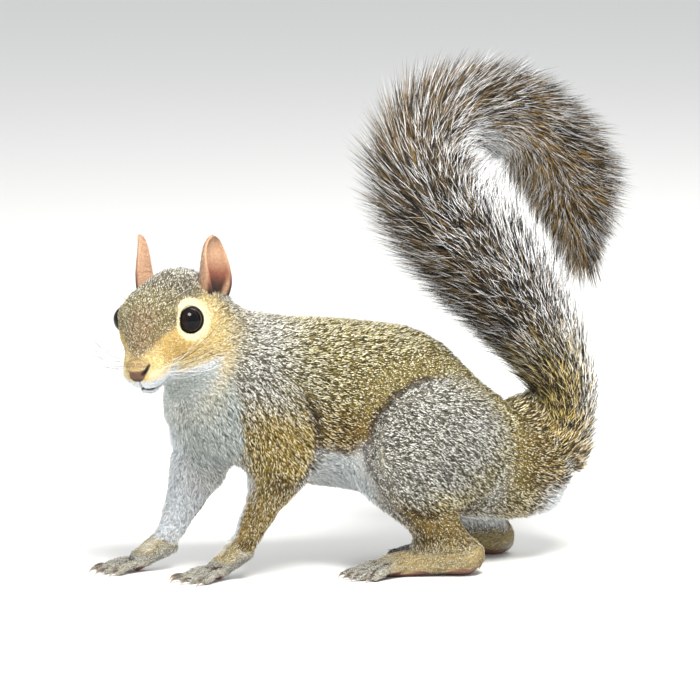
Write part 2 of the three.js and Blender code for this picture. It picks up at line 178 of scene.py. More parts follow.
def soften(values, edges, rounds):
    """Values at the vertices of a mesh, averaged with their neighbours' so many times over."""
    if values.ndim == 1:
        return soften(values[:, None] * 1.0, edges, rounds)[:, 0]
    ends = np.concatenate([edges, edges[:, ::-1]])
    ends = ends[np.argsort(ends[:, 0], kind="stable")]
    starts = np.searchsorted(ends[:, 0], np.arange(len(values)))
    counts = np.diff(np.append(starts, len(ends)))[:, None]
    for _ in range(rounds):
        values = (values + np.add.reduceat(values[ends[:, 1]], starts, axis=0)) / (counts + 1)
    return values


def fade(low, high, values):
    """0 at low, 1 at high, smoothly between them and held past both. low may be the greater."""
    share = np.clip((values - low) / (high - low), 0, 1)
    return share * share * (3 - 2 * share)


def unit(vectors):
    return vectors / np.maximum(np.linalg.norm(vectors, axis=-1, keepdims=True), 1e-12)


flesh = sorted(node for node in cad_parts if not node.startswith(("eye_", "ear_")))


def parts_at(points, nodes):
    """For each point, the number in flesh of the solid among nodes that is nearest to it."""
    corners, faces, owners = [], [], []
    for node in nodes:
        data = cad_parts[node].data
        first = len(corners)
        corners += [vertex.co.copy() for vertex in data.vertices]
        faces += [[first + corner for corner in polygon.vertices] for polygon in data.polygons]
        owners += [flesh.index(node)] * len(data.polygons)
    nearest = BVHTree.FromPolygons(corners, faces)
    return np.array([owners[nearest.find_nearest(Vector(point))[2]] for point in points])


def by_part(table, parts):
    """The table's value at each point, by the start of the name of the solid it is on."""
    rows = [next(value for start, value in table.items() if node.startswith(start)) for node in flesh]
    return np.array(rows)[parts]


def through(knots, place):
    """Points and slopes on the smooth curve through the knots, at places counted from 0 at the first."""
    knots = np.array([knots[0], *knots, knots[-1]], float)
    first = np.minimum(place.astype(int), len(knots) - 4)
    t = (place - first)[:, None]
    a, b, c, d = (knots[first + step] for step in range(4))
    bend, twist = 2 * a - 5 * b + 4 * c - d, 3 * b - a - 3 * c + d
    curve = 0.5 * (2 * b + (c - a) * t + bend * t**2 + twist * t**3)
    return curve, 0.5 * (c - a + 2 * bend * t + 3 * twist * t**2)


TAIL = [  # middle of the brush and half its depth, from the rump to the tip
    (0, 80, 38, 20), (0, 94, 54, 14.5), (0, 97, 69, 14), (0, 93, 85, 16.5), (0, 83, 101, 21),
    (0, 72, 117, 26), (0, 57, 136, 31), (0, 42, 153, 31.5), (-1, 34, 171, 32.5), (-3, 38, 189, 29.5),
    (-6, 56, 195, 24), (-9, 74, 193, 24), (-11, 86, 183, 25), (-12, 95, 170, 28), (-12, 99, 157, 28),
    (-12, 103, 140, 20), (-12, 105, 127, 10),
]
TAIL_CORE = (10, 2.2)  # its radius at the rump and at the tip


def tail_at(share):
    """Middle of the brush, its direction and its half depth at shares of its length."""
    curve, slope = through(TAIL, np.clip(share, 0, 1) * (len(TAIL) - 1))
    return curve[:, :3], unit(slope[:, :3]), curve[:, 3]


def tail_frame(share):
    """The same with the directions across the brush and towards its front as well."""
    middle, along, reach = tail_at(share)
    front = unit(np.cross([1, 0, 0], along))  # towards the inside of the curl at the root
    side = np.cross(along, front)
    return middle, along, side, front, reach


def tail_core(share):
    return TAIL_CORE[0] + (TAIL_CORE[1] - TAIL_CORE[0]) * share**0.45


FINE = 0.6 * MM  # size of the voxels
SWELL = 0.25 * MM  # how far the solids are swollen, so that they overlap
SKULL = (-13, 0, -2.2), (21.6, 15.6, 16)  # middle and half sizes of the ball that fills the ears' sockets
DEPTH = {  # of the coat, in millimetres
    "head": 1.9, "neck": 3.6, "trunk": 3.8, "thigh": 3.6, "shank": 2.6, "upper_leg_fore": 3.2,
    "forearm": 1.8, "foot": 0.35, "tail": 7.5,
}
ROUNDING = {  # how far the facets of the solids are smoothed, in millimetres
    "head": 1.3, "neck": 3.5, "trunk": 4.5, "thigh": 3.5, "shank": 2.6, "upper_leg_fore": 3.0,
    "forearm": 1.9, "foot": 0.45, "tail": 4.5,
}
near_body = [node for node in flesh if node not in ("tail_middle", "tail_upper", "tail_tip")]
body = copies_of(near_body, SWELL)
bpy.ops.mesh.primitive_uv_sphere_add(segments=48, ring_count=32)
skull = only(bpy.context.object)
skull.matrix_world = head_frame @ Matrix.Translation(Vector(SKULL[0]) * MM)
skull.scale = Vector(SKULL[1]) * MM
bpy.ops.object.transform_apply()
body = joined([body, skull], "body")
apply(body, "REMESH", mode="VOXEL", voxel_size=FINE)

points = points_of(body)
parts = parts_at(points, near_body)
most = max(ROUNDING.values())
rounds = int((2 * most * MM / FINE) ** 2)
share = soften((by_part(ROUNDING, parts) / most) ** 2, edges_of(body), 40)
group = body.vertex_groups.new(name="rounding")
for level in np.unique(np.round(share, 2)):
    group.add(np.flatnonzero(np.round(share, 2) == level).tolist(), float(level), "REPLACE")
apply(body, "SMOOTH", factor=0.5, iterations=rounds, vertex_group="rounding")

head = to_head(points)
FACE_DEPTH = 0.6
face = FACE_DEPTH + (DEPTH["head"] - FACE_DEPTH) * fade(8, -14, head[:, 0])
depth = np.where(parts == flesh.index("head"), face, by_part(DEPTH, parts))
for side in (1, -1):
    from_eye = np.linalg.norm(head - EYE_AT * [1, side, 1], axis=1)
    depth *= 0.25 + 0.75 * fade(7.5, 12, from_eye)
depth = soften(depth, edges_of(body), int((7 * MM / FINE) ** 2))
points, normals, edges = points_of(body), normals_of(body), edges_of(body)


def on(start, rounds=int((2.2 * MM / FINE) ** 2) + 4):
    """A soft mask of the parts whose names begin with these letters."""
    numbers = [number for number, node in enumerate(flesh) if node.startswith(start)]
    return soften(np.isin(parts, numbers), edges, rounds)


fold = 4 * on("trunk") * (2.4 * on("thigh") + 1.3 * on("upper_leg"))  # where a leg presses on the trunk
inner = points - normals * (depth + fold)[:, None] * MM

# The rump tapers into the core of the tail, so there it closes in on the tail's middle line instead.
shares = np.linspace(0, 0.3, 40)
middle = tail_at(shares)[0]
offsets = to_body(points)[:, None] - middle[None]
closest = np.argmin((offsets**2).sum(axis=2), axis=1)
offset = offsets[np.arange(len(points)), closest]
width = tail_core(shares[closest]) * (1.6 - 0.6 * fade(0, 0.15, shares[closest]))
tapered = middle[closest] + offset * (width / np.maximum(np.linalg.norm(offset, axis=1), width))[:, None]
pull = soften(parts == flesh.index("tail_root"), edges, 60)
move_points(body, inner + (from_body(tapered) - inner) * fade(0.2, 0.9, pull)[:, None])

# The core of the tail is a slender tube along the middle of the brush.
rings, sides = 60, 16
shares = np.linspace(0, 0.93, rings)
middle, _, side, front, _ = tail_frame(shares)
angle = np.linspace(0, 2 * np.pi, sides, endpoint=False)
around = side[:, None] * np.cos(angle)[None, :, None] + front[:, None] * np.sin(angle)[None, :, None]
tube = middle[:, None] + around * tail_core(shares)[:, None, None]
tube = from_body(np.concatenate([tube.reshape(-1, 3), middle[[0, -1]]]))


def walls(rings, sides, rows):
    """Faces between one ring of points and the next, for so many rows. Past the last ring is the first."""
    corners = ((0, 0), (0, 1), (1, 1), (1, 0))
    return [
        [(row + up) % rings * sides + (side + past) % sides for up, past in corners]
        for row in range(rows) for side in range(sides)
    ]


def tube_faces(rings, sides):
    """Faces of a tube, ring after ring, closed at both ends on the two points that come last."""
    last = (rings - 1) * sides
    faces = walls(rings, sides, rings - 1) + [(rings * sides, (s + 1) % sides, s) for s in range(sides)]
    return faces + [(rings * sides + 1, last + s, last + (s + 1) % sides) for s in range(sides)]


core = mesh_piece("tail_core", tube, tube_faces(rings, sides))
hide = joined([body, core], "hide")
apply(hide, "REMESH", mode="VOXEL", voxel_size=FINE * 0.95)
apply(hide, "SMOOTH", factor=0.5, iterations=3)

# Only the face and the feet keep the fine mesh, because the coat hides the rest.
HIDE_FACES = 120000  # triangles that the hide comes down towards
points, edges = points_of(hide), edges_of(hide)
parts = parts_at(points, flesh)
keep = (on("foot") > 0.3) | ((on("head") > 0.5) & (to_head(points)[:, 0] > -6))
group = hide.vertex_groups.new(name="free")
group.add(np.flatnonzero(~keep).tolist(), 1.0, "REPLACE")
ratio = HIDE_FACES / (2 * len(hide.data.polygons))
apply(hide, "DECIMATE", ratio=min(1, ratio), vertex_group="free", use_collapse_triangulate=True)

# The muzzle gets a finer mesh yet for what is sculpted there.
shape = bmesh.new()
shape.from_mesh(hide.data)
at_head = to_head(points_of(hide))
fine = (at_head[:, 0] > 17) & (at_head[:, 2] > -24) & (abs(at_head[:, 1]) < 10)
shape.verts.ensure_lookup_table()
cut = [edge for edge in shape.edges if fine[edge.verts[0].index] and fine[edge.verts[1].index]]
bmesh.ops.subdivide_edges(shape, edges=cut, cuts=1, smooth=0.2)
bmesh.ops.triangulate(shape, faces=shape.faces)
shape.to_mesh(hide.data)
shape.free()

points, normals = points_of(hide), normals_of(hide)
ahead, out, up = to_head(points).T
wide = abs(out)


def eye_gap():
    """How far each point is from the middle of the nearer eye."""
    return np.linalg.norm(np.stack([ahead, wide, up], axis=1) - EYE_AT, axis=1)


def near(centre, radii):
    """1 at a point of the head, fading to nothing a few radii away, on both sides of the face alike."""
    away = (np.stack([ahead, wide, up], axis=1) - centre) / radii
    return np.exp(-(away**2).sum(axis=1))


def slit(path, width):
    """1 along a line on the front of the muzzle, given as (out, up) points, fading over its width."""
    path = np.array(path, float)
    here = np.stack([wide, up], axis=1)
    distance = np.full(len(here), 1e9)
    for start, end in zip(path[:-1], path[1:]):
        leg = end - start
        share = np.clip((here - start) @ leg / (leg @ leg), 0, 1)
        distance = np.minimum(distance, np.linalg.norm(here - start - share[:, None] * leg, axis=1))
    return np.exp(-((distance / width) ** 2)) * (ahead > 14)


def around_nose(wide, up):
    """How far out from the middle of the nose a point is: 1 is the edge of its pad."""
    width = np.interp(up, [-13.8, -8.5, -6], [2.2, 4.7, 4.0])
    return ((wide / width) ** 3 + (abs(up + 9.6) / 4.1) ** 3) ** (1 / 3)


def lip_line_at(wide, ahead):
    """The height of the line of the mouth."""
    return -18.9 - 1.5 * np.sin(np.clip(wide / 6, 0, 1) * np.pi / 2) + 0.1 * (23 - np.minimum(ahead, 23))


NOSTRIL = [(3.1, -10.4), (4.0, -9.6), (5.0, -7.9)]
CLEFT = [(0, -13.6), (0, -18.4)]
front_of = fade(20, 23, ahead)
nose_pad = around_nose(wide, up)
pad = fade(1.1, 0.86, nose_pad) * front_of
nostril = slit(NOSTRIL, 0.62) * front_of
mouth = 1.5 * np.exp(-(((up - lip_line_at(wide, ahead)) / 0.55) ** 2)) * fade(12, 15, ahead)
cleft = slit(CLEFT, 0.4) * front_of
rise = 1.1 * pad - 0.35 * np.exp(-(((nose_pad - 1.2) / 0.12) ** 2)) * front_of
rise += 1.3 * near((20.5, 6.2, -13.8), (4, 3, 3)) - 0.4 * near((22.5, 0, -2.5), (3, 5, 2.5))
rise += -2.2 * nostril * pad - 1.1 * mouth - 0.55 * cleft + 1.1 * near((21, 3, -21.8), (5, 4.5, 2.2))
brow = 1.5 * near((6, 12.2, 6), (4, 4, 4)) + 1.0 * near((8.5, 11, -0.5), (3, 3, 4.5))
rise += brow * fade(6.8, 8.8, eye_gap())
move_points(hide, points + normals * rise[:, None] * MM)
apply(hide, "SMOOTH", factor=0.25, iterations=1)

# The lids are a thick rim round each eye, dark at its edge.
LID_SIDES = 72
RIM = [  # its section: degrees out from the edge of the opening, millimetres out from the ball
    (0, -0.5), (0, 0.15), (2.5, 0.48), (7, 0.62), (13, 0.72), (20, 0.62), (27, 0.3), (32, -0.4),
]
eye_look = {side: unit(np.array([0.5, 0.85 * side, 0.12])) for side in (1, -1)}


def lids_of(side):
    look = eye_look[side]
    upward = unit(np.array([0, 0, 1]) - look * look[2])
    forward = unit(np.cross(upward, look) * side)
    round_eye = np.linspace(0, 2 * np.pi, LID_SIDES, endpoint=False)
    front_corner = np.exp(-(((round_eye - 1.75) / 0.22) ** 2))
    opening = 67.5 + 3.5 * np.cos(2 * round_eye) + 5 * front_corner
    spokes = np.cos(round_eye)[:, None] * upward + np.sin(round_eye)[:, None] * forward
    points = []
    for turned, bulge in RIM:
        angle = np.radians(opening + turned)
        ray = np.cos(angle)[:, None] * look + np.sin(angle)[:, None] * spokes
        points.append(EYE_AT * [1, side, 1] + ray * (EYE_RADIUS / MM + bulge))
    return mesh_piece("lids", from_head(np.concatenate(points)), walls(len(RIM), LID_SIDES, len(RIM)))


# The ears are thin leaves of skin, cupped at their base, open to the side and a little forward.
EAR_HEIGHT, EAR_SUNK, EAR_WIDTH = 31.5, 7, 16  # its whole height, what is inside the head, its width
EAR_LEAN, EAR_SPLAY = -24, 14  # degrees backwards and outwards
EARS = {  # base, degrees turned outwards, degrees of the cup: the left ear and the right one
    1: ((-22, 12.5, 1), 82, 125), -1: ((-22, -13.4, 1), 60, 100),
}


def ear_frame(side):
    base, turned, _ = EARS[side]
    placed = Matrix.Translation(base)
    for axis, degrees in (("Y", EAR_LEAN), ("X", -EAR_SPLAY * side), ("Z", turned * side)):
        placed = placed @ Matrix.Rotation(math.radians(degrees), 4, axis)
    return np.array(placed)


def ear_of(side):
    across, upward = 28, 30  # points across the leaf and up it
    v, u = np.meshgrid(np.linspace(0, 1, upward), np.linspace(-1, 1, across), indexing="ij")
    tip = np.sqrt(1 - (np.clip(v - 0.6, 0, 1) / 0.4005) ** 2)
    half = EAR_WIDTH / 2 * np.where(v > 0.6, tip, 1 - 0.5 * (np.clip(0.6 - v, 0, 1) / 0.6) ** 1.8)
    cupped = EARS[side][2]
    cup = np.radians(cupped - (cupped - 40) * fade(0.05, 1.1, v))
    radius = half / np.sin(np.minimum(cup, np.pi / 2))
    layers = []
    for layer in (-1, 1):
        thick = (1.3 - 0.5 * v) / 2 * (1 + 0.5 * np.abs(u) ** 8) * (1 - 0.75 * v**12)
        shell = radius + layer * thick * np.sqrt(1 - 0.7 * np.abs(u) ** 12)
        shell = shell - 0.7 * np.exp(-(((u + 0.45) / 0.16) ** 2)) * fade(0.75, 0.3, v) * (layer < 0)
        x = radius * 0.75 - np.cos(u * cup) * shell - 1.5 * v**2 + 0.8 * np.abs(u) ** 3 * v
        height = EAR_HEIGHT * v - EAR_SUNK
        layers.append(np.stack([x, np.sin(u * cup) * shell * side, height], axis=2))
    inner, outer = layers
    points = np.concatenate([inner, outer[:, ::-1]], axis=1).reshape(-1, 3)  # each row runs once round
    points = np.concatenate([points, [points[: 2 * across].mean(axis=0), points[-2 * across:].mean(axis=0)]])
    matrix = ear_frame(side)
    points = from_head(points @ matrix[:3, :3].T + matrix[:3, 3])
    return mesh_piece("ear", points, tube_faces(upward, 2 * across))


extras = [make(side) for side in (1, -1) for make in (lids_of, ear_of)]
SKIN, LID, EAR_LEAF = range(3)
sizes = [len(piece.data.vertices) for piece in (hide, *extras)]
kind = np.repeat([SKIN, LID, EAR_LEAF, LID, EAR_LEAF], sizes)
hide = joined([hide, *extras], "hide")
apply(hide, "TRIANGULATE")
hide.data.validate()

# ---------------------------------------------------------------- the markings
# A grey squirrel is grizzled olive above with a rusty line along the flank, silvery on the neck and thighs,
# white below, and tan about the face with a cream ring round each eye. Painted shade greys the throat, breast
# and belly, and darkens the folds at the legs, the hollows between the toes and the depths of the ears. Hide
# and coat share these markings and this painted shade, which are worked out once for every vertex of the
# hide.
# One grey of the palette, laid over white fur, is painted shade for the throat, breast and belly.
PALETTE = {
    "olive": (0.66, 0.55, 0.20), "ochre": (0.74, 0.52, 0.13), "gold": (0.68, 0.49, 0.17),
    "silver": (0.74, 0.73, 0.61), "grey": (0.40, 0.36, 0.23), "white": (0.82, 0.87, 0.92),
    "cream": (0.88, 0.76, 0.50), "tan": (0.80, 0.64, 0.29), "brown": (0.14, 0.07, 0.04),
    "pink": (0.22, 0.11, 0.08), "black": (0.022, 0.018, 0.015), "leaf": (0.52, 0.32, 0.20),
    "blood": (0.26, 0.085, 0.05), "rust": (0.46, 0.30, 0.08), "painted_shade_grey": (0.50, 0.55, 0.53),
    "fawn": (0.50, 0.36, 0.17),
}
points, normals, edges = points_of(hide), normals_of(hide), edges_of(hide)
parts = parts_at(points, flesh)
at_body, at_head = to_body(points), to_head(points)
wave = np.sin(at_body * [0.31, 0.23, 0.37] + at_body[:, [1, 2, 0]] * [0.17, 0.29, 0.13])
x, y, z = (at_body + 2.2 * wave[:, [2, 0, 1]]).T  # the edges of the markings waver by a few millimetres
ahead, out, up = at_head.T
wide = abs(out)
medial = -np.sign(x) * normals[:, 0]  # 1 where the hide faces the other side of the body
knee = np.where(x > 0, 8, 34)  # how far back each knee is
is_head, is_trunk, is_foot, is_thigh, is_shank, is_arm, is_forearm = (
    on(start, 12) for start in ("head", "trunk", "foot", "thigh", "shank", "upper_leg", "forearm")
)
tint = np.tile(PALETTE["olive"], (len(points), 1))
dark = np.full(len(points), 0.40)  # share of the hairs with black tips
pale = np.full(len(points), 0.34)  # share of the hairs with pale tips
bare = np.zeros(len(points))  # 1 where the skin shows


def mark(mask, colour, dark_share=None, pale_share=None, skin=None):
    """Lays a colour over the hide as far as the mask says, with its shares of dark and of pale tips."""
    global tint, dark, pale, bare
    mask = np.clip(mask, 0, 1)
    tint = tint + (np.array(PALETTE[colour]) - tint) * mask[:, None]
    if dark_share is not None:
        dark = dark + (dark_share - dark) * mask
        pale = pale + (pale_share - pale) * mask
    if skin is not None:
        bare = bare + (skin - bare) * mask


mark(fade(-16, -50, y) * fade(58, 78, z), "silver", 0.27, 0.52)  # neck and shoulder
oval = np.hypot((y - knee - 19) / 33, (z - 62) / 28)  # the thigh, seen from the side
oval = fade(1.15, 0.6 + 0.25 * fade(10, -10, y - knee - 19), oval)
mark(oval * fade(0.35, 0.6, is_thigh + is_shank), "silver", 0.38, 0.42)
mark(fade(60, 84, y) * fade(78, 56, z), "rust", 0.42, 0.3)
flank = is_trunk * fade(84, 62, z) * fade(-0.3, 0.2, -medial)
mark(flank * fade(34, 16, y), "rust", 0.38, 0.24)
mark(is_arm * fade(88, 64, z), "ochre", 0.26, 0.30)
# Painted shade: brown darkens the creases in front of the thigh and behind the arm, where shade falls.
thigh_fold_shade = 4 * is_thigh * (1 - is_thigh) * fade(-0.2, 0.2, -medial)
thigh_fold_shade *= fade(knee + 30, knee + 18, y)
arm_fold_shade = 4 * is_arm * (1 - is_arm) * fade(-46, -38, y) * fade(84, 74, z)
mark(fade(0.85, 1, thigh_fold_shade) * 0.75, "brown", 0.8, 0.05)  # the folds in front of the thigh
mark(fade(0.6, 0.95, arm_fold_shade) * 0.7, "brown", 0.75, 0.06)  # and behind the arm
mark(is_forearm, "gold", 0.28, 0.24)
mark(is_shank * fade(44, 24, z), "rust", 0.40, 0.3)
mark(is_foot, "tan", 0.22, 0.5)
toes = np.where(y > -25, fade(4, -6, y - knee - 2), fade(12.5, 9, z))
mark(is_foot * toes, "silver", 0.24, 0.6)
# Painted shade: brown darkens the hide where it is hollow between the toes.
hollow_shade = ((soften(points, edges, 8) - points) * normals).sum(axis=1) / MM
mark(is_foot * fade(0.03, 0.14, hollow_shade), "brown", 0.8, 0.03)  # between the toes
breast_line = np.interp(z, [40, 62, 79, 90, 104], [-54, -54, -57, -62, -68]) - 10 * (x < 0)
breast = fade(1.5, -1.5, y - breast_line)
breast *= fade(0.35, -0.1, normals[:, 1]) * (1 - is_forearm) * (1 - is_foot)
belly = is_trunk * fade(59, 54.5, z) * fade(66, 54, y)
# Painted shade: a grey laid over the white belly at half strength, and over the breast, stands for the shade
# there.
mark(belly, "white", 0.0, 0.3)
mark(belly * 0.5, "painted_shade_grey")
mark(breast, "painted_shade_grey", 0.0, 0.3)
inner = np.maximum(medial, 0.75 * medial - 0.65 * normals[:, 1]) * (1 - is_foot * fade(14, 10, z))
fore_leg = is_arm + is_forearm + is_foot * (y < -25) * 0.5
mark(fore_leg * fade(0.2, 0.5, inner), "white", 0.0, 0.3)
mark((is_shank + is_thigh) * fade(0.3, 0.6, medial), "white", 0.0, 0.3)
mark(is_trunk * fade(0.5, 0.85, normals[:, 1]) * fade(80, 88, y) * 0.7, "white", 0.1, 0.5)
mark(fade(0.1, -0.5, normals[:, 2]) * fade(70, 84, y) * fade(40, 30, z), "white", 0.05, 0.4)

# The head: a grizzled crown and bridge, tan sides, pale lips and a white throat.
throat = -17.5 - 0.12 * ahead + 0.5 * np.maximum(-ahead - 2, 0)
mark(is_head, "tan", 0.06, 0.3)
mark(is_head * fade(-7, -16, ahead) * fade(4, 8, wide), "tan", 0.2, 0.36)
below_eye = fade(2, 9, ahead) * fade(-14, -11, up) * fade(20, 16, ahead)
mark(is_head * below_eye, "gold", 0.05, 0.3)
crown = fade(-2, 5, up - 0.35 * (wide - 8) + 0.3 * np.minimum(ahead, 0))
mark(is_head * crown, "grey", 0.54, 0.32)
mark(is_head * crown * fade(-10, 4, ahead) * 0.6, "olive")
bridge = fade(4, 12, ahead) * fade(10, 3.5, wide + 0.4 * np.maximum(ahead - 16, 0))
mark(is_head * bridge * fade(-8, -1, up), "fawn", 0.32, 0.38)
mark(is_head * fade(-14, -22, ahead) * fade(-22, -12, up), "silver", 0.36, 0.48)
cheek = fade(11, 17, wide) * fade(-14, -20, up) * fade(-8, -2, ahead)
mark(is_head * cheek, "cream", 0.03, 0.4)
pads = fade(9, 13, ahead) * fade(-8.5, -11, up + 0.25 * (wide - 6))
mark(is_head * pads * fade(3.5, 6, wide), "cream", 0.02, 0.35)
mark(is_head * fade(-13, -15, up) * fade(9, 13, ahead), "white", 0.0, 0.3)
under_jaw = fade(throat + 2.5, throat - 2, up) * fade(-63, -67, y + 10 * (x < 0))
mark(is_head * under_jaw, "white", 0.0, 0.3)
# Painted shade: the white throat is greyed under the front of the jaw.
mark(is_head * under_jaw * fade(16, 8, ahead) * fade(-19, -25, up), "painted_shade_grey")
from_eye = eye_gap()
mark((kind != EAR_LEAF) * fade(9.6, 9.0, from_eye), "cream", 0.0, 0.3)

# Bare skin: the rims of the lids, the pad of the nose, the mouth, the soles and the inside of the ears.
look = np.where(out[:, None] > 0, eye_look[1], eye_look[-1])
from_centre = at_head - EYE_AT * np.where(out[:, None] > 0, [1, 1, 1], [1, -1, 1])
from_look = np.degrees(np.arccos(np.clip((unit(from_centre) * look).sum(axis=1), -1, 1)))
mark((kind == LID) * fade(75, 72, from_look), "black", 0, 0, 1)
mark((kind == SKIN) * fade(6.95, 6.6, from_eye), "black", 0, 0, 1)
nose_pad = around_nose(wide, up)
front_of = fade(20, 23, ahead)
mark(fade(1.3, 0.95, nose_pad) * front_of * fade(-9, -6.5, up), "fawn", 0.12, 0.3)
mark(fade(1.2, 0.95, nose_pad) * front_of * fade(-7.5, -9, up), "brown", 0, 0, 1)
mark(fade(1.2, 1.0, nose_pad) * front_of * fade(-11, -13, up) * 0.8, "black", 0, 0, 1)
mark(slit(NOSTRIL, 0.75) * front_of * 1.3, "black", 0, 0, 1)
mark(slit(CLEFT, 0.4) * front_of * 0.8, "brown", 0, 0, 1)
above_lip = up - lip_line_at(wide, ahead)
mark(np.exp(-((above_lip / 0.95) ** 2)) * fade(12, 15, ahead) * 1.3, "black", 0, 0, 1)
mark(is_foot * fade(-0.45, -0.75, normals[:, 2]) * fade(5, 3.5, z), "pink", 0, 0, 1)

leaf_height, leaf_inside, canal_shade = (np.zeros(len(points)) for _ in range(3))
for side in (1, -1):
    mine = (kind == EAR_LEAF) & (out * side > 0)
    matrix = np.linalg.inv(ear_frame(side))
    local = at_head @ matrix[:3, :3].T + matrix[:3, 3]
    leaf_height[mine] = (local[mine, 2] + EAR_SUNK) / EAR_HEIGHT
    leaf_inside[mine] = (normals[mine] @ head_turn @ ear_frame(side)[:3, :3])[:, 0]
    in_cup = fade(6.6, 5.4, np.hypot(local[:, 0] - 1.5, local[:, 1])) * fade(-5, -2, local[:, 2])
    canal_shade = np.maximum(canal_shade, in_cup * (kind == SKIN) * (out * side > 0))
inside = (kind == EAR_LEAF) * fade(-0.05, 0.25, leaf_inside)
mark(kind == EAR_LEAF, "leaf", 0.03, 0.35, 0.3)
mark(inside, "leaf", 0, 0, 0.8)
mark(inside * fade(0.75, 0.42, leaf_height), "blood", 0, 0, 1)
# Painted shade: black at the bottom of the inside of each ear and in its canal.
mark(np.maximum(inside * fade(0.55, 0.3, leaf_height) * 0.9, canal_shade), "black", 0, 0, 1)

# Which way the hair lies on each part, in the body's own frame. On the head it streams from the nose.
LIE = {
    "head": (0, 0, 0), "neck": (-0.15, 0.9, -0.5), "trunk": (0, 1, -0.3), "thigh": (0, 0.85, -0.65),
    "shank": (0, 0.6, -0.75), "upper_leg_fore_left": (0, 0.45, -0.85),
    "upper_leg_fore_right": (-0.1, 0.25, -0.95), "forearm_left": (-0.1, -0.25, -0.9),
    "forearm_right": (0, -0.2, -0.95), "foot_fore_left": (0.34, -0.94, -0.2),
    "foot_fore_right": (-0.12, -0.99, -0.2), "foot_hind_left": (0.24, -0.97, -0.1),
    "foot_hind_right": (0.07, -0.99, -0.1), "tail": (0, 0.3, 1),
}
NOSE = (25, 0, -9)
EAR_LIE = (-0.35, 0, 1)
lie = unit(by_part(LIE, parts))
stream = (at_head - NOSE) @ head_turn.T
lie = np.where((parts == flesh.index("head"))[:, None], unit(stream), lie)
lie = np.where((kind == EAR_LEAF)[:, None], unit(head_turn @ EAR_LIE), lie)
lie = soften(lie, edges, 16)

# ---------------------------------------------------------------- the coat
# Short hair covers the hide. Each hair is a slender closed blade, pointed at both ends, that leaves the skin,
# bends over and lies along the body, and neighbours lean together into small tufts. It is banded: dark at
# its root, then the colour of the place, then a black ring and a pale or a black tip.
HAIR = {  # hairs on a square millimetre, their length and thickness, the depth of the coat, in millimetres
    "head": (4.1, 3.4, 0.31, 1.8), "neck": (3.9, 5.0, 0.38, 3.6), "trunk": (2.6, 6.2, 0.47, 4.1),
    "thigh": (3.1, 5.2, 0.41, 3.8), "shank": (3.2, 5.0, 0.42, 2.7), "upper_leg_fore": (2.8, 5.8, 0.48, 3.4),
    "forearm": (3.6, 4.0, 0.38, 1.9), "foot": (4.7, 1.9, 0.27, 0.7), "tail": (2.2, 9, 0.5, 5.0),
}
triangles = read(hide.data.polygons, "vertices", 3, np.int32)
TUFT, TAIL_TUFT = 2.2 * MM, 2.6 * MM  # how far apart the tufts are
GATHER = 0.3  # how far the tip of a hair leans to the leader of its tuft
SWING, TAIL_SWING = 0.16, 0.5  # how far hairs stray from their direction, in radians
chance = np.random.default_rng(7)


def scatter(weight):
    """Places spread over the hide, weight[vertex] of them to a square millimetre, as a function that
    reads any values of the vertices at those places."""
    a, b, c = (points[triangles[:, corner]] for corner in range(3))
    area = np.linalg.norm(np.cross(b - a, c - a), axis=1) / 2 / MM**2
    filled = np.cumsum(area * weight[triangles].mean(axis=1))
    count = int(filled[-1])
    face = np.searchsorted(filled, (np.arange(count) + chance.random(count)) / count * filled[-1])
    face = np.minimum(face, len(triangles) - 1)
    u, v = chance.random((2, count))
    over = u + v > 1
    u[over], v[over] = 1 - u[over], 1 - v[over]
    shares = np.stack([1 - u - v, u, v], axis=1)
    return lambda values: np.einsum("hc,hc...->h...", shares, values[triangles[face]])


def clumps(roots, spacing):
    """For each root, the number of a nearby root that leads its tuft."""
    cells = np.floor(roots / spacing).astype(int)
    leaders = np.unique(cells, axis=0, return_index=True)[1]
    tree = KDTree(len(leaders))
    for leader in leaders:
        tree.insert(roots[leader], int(leader))
    tree.balance()
    return np.array([tree.find(root)[1] for root in roots])


def write(mesh, name, values):
    """Writes a number or a colour at each vertex of a mesh."""
    if values.ndim == 1:
        mesh.attributes.new(name, "FLOAT", "POINT").data.foreach_set("value", values.astype(np.float32))
    else:
        colours = np.concatenate([values, np.ones((len(values), 1))], axis=1)
        layer = mesh.attributes.new(name, "FLOAT_COLOR", "POINT")
        layer.data.foreach_set("color", colours.astype(np.float32).ravel())


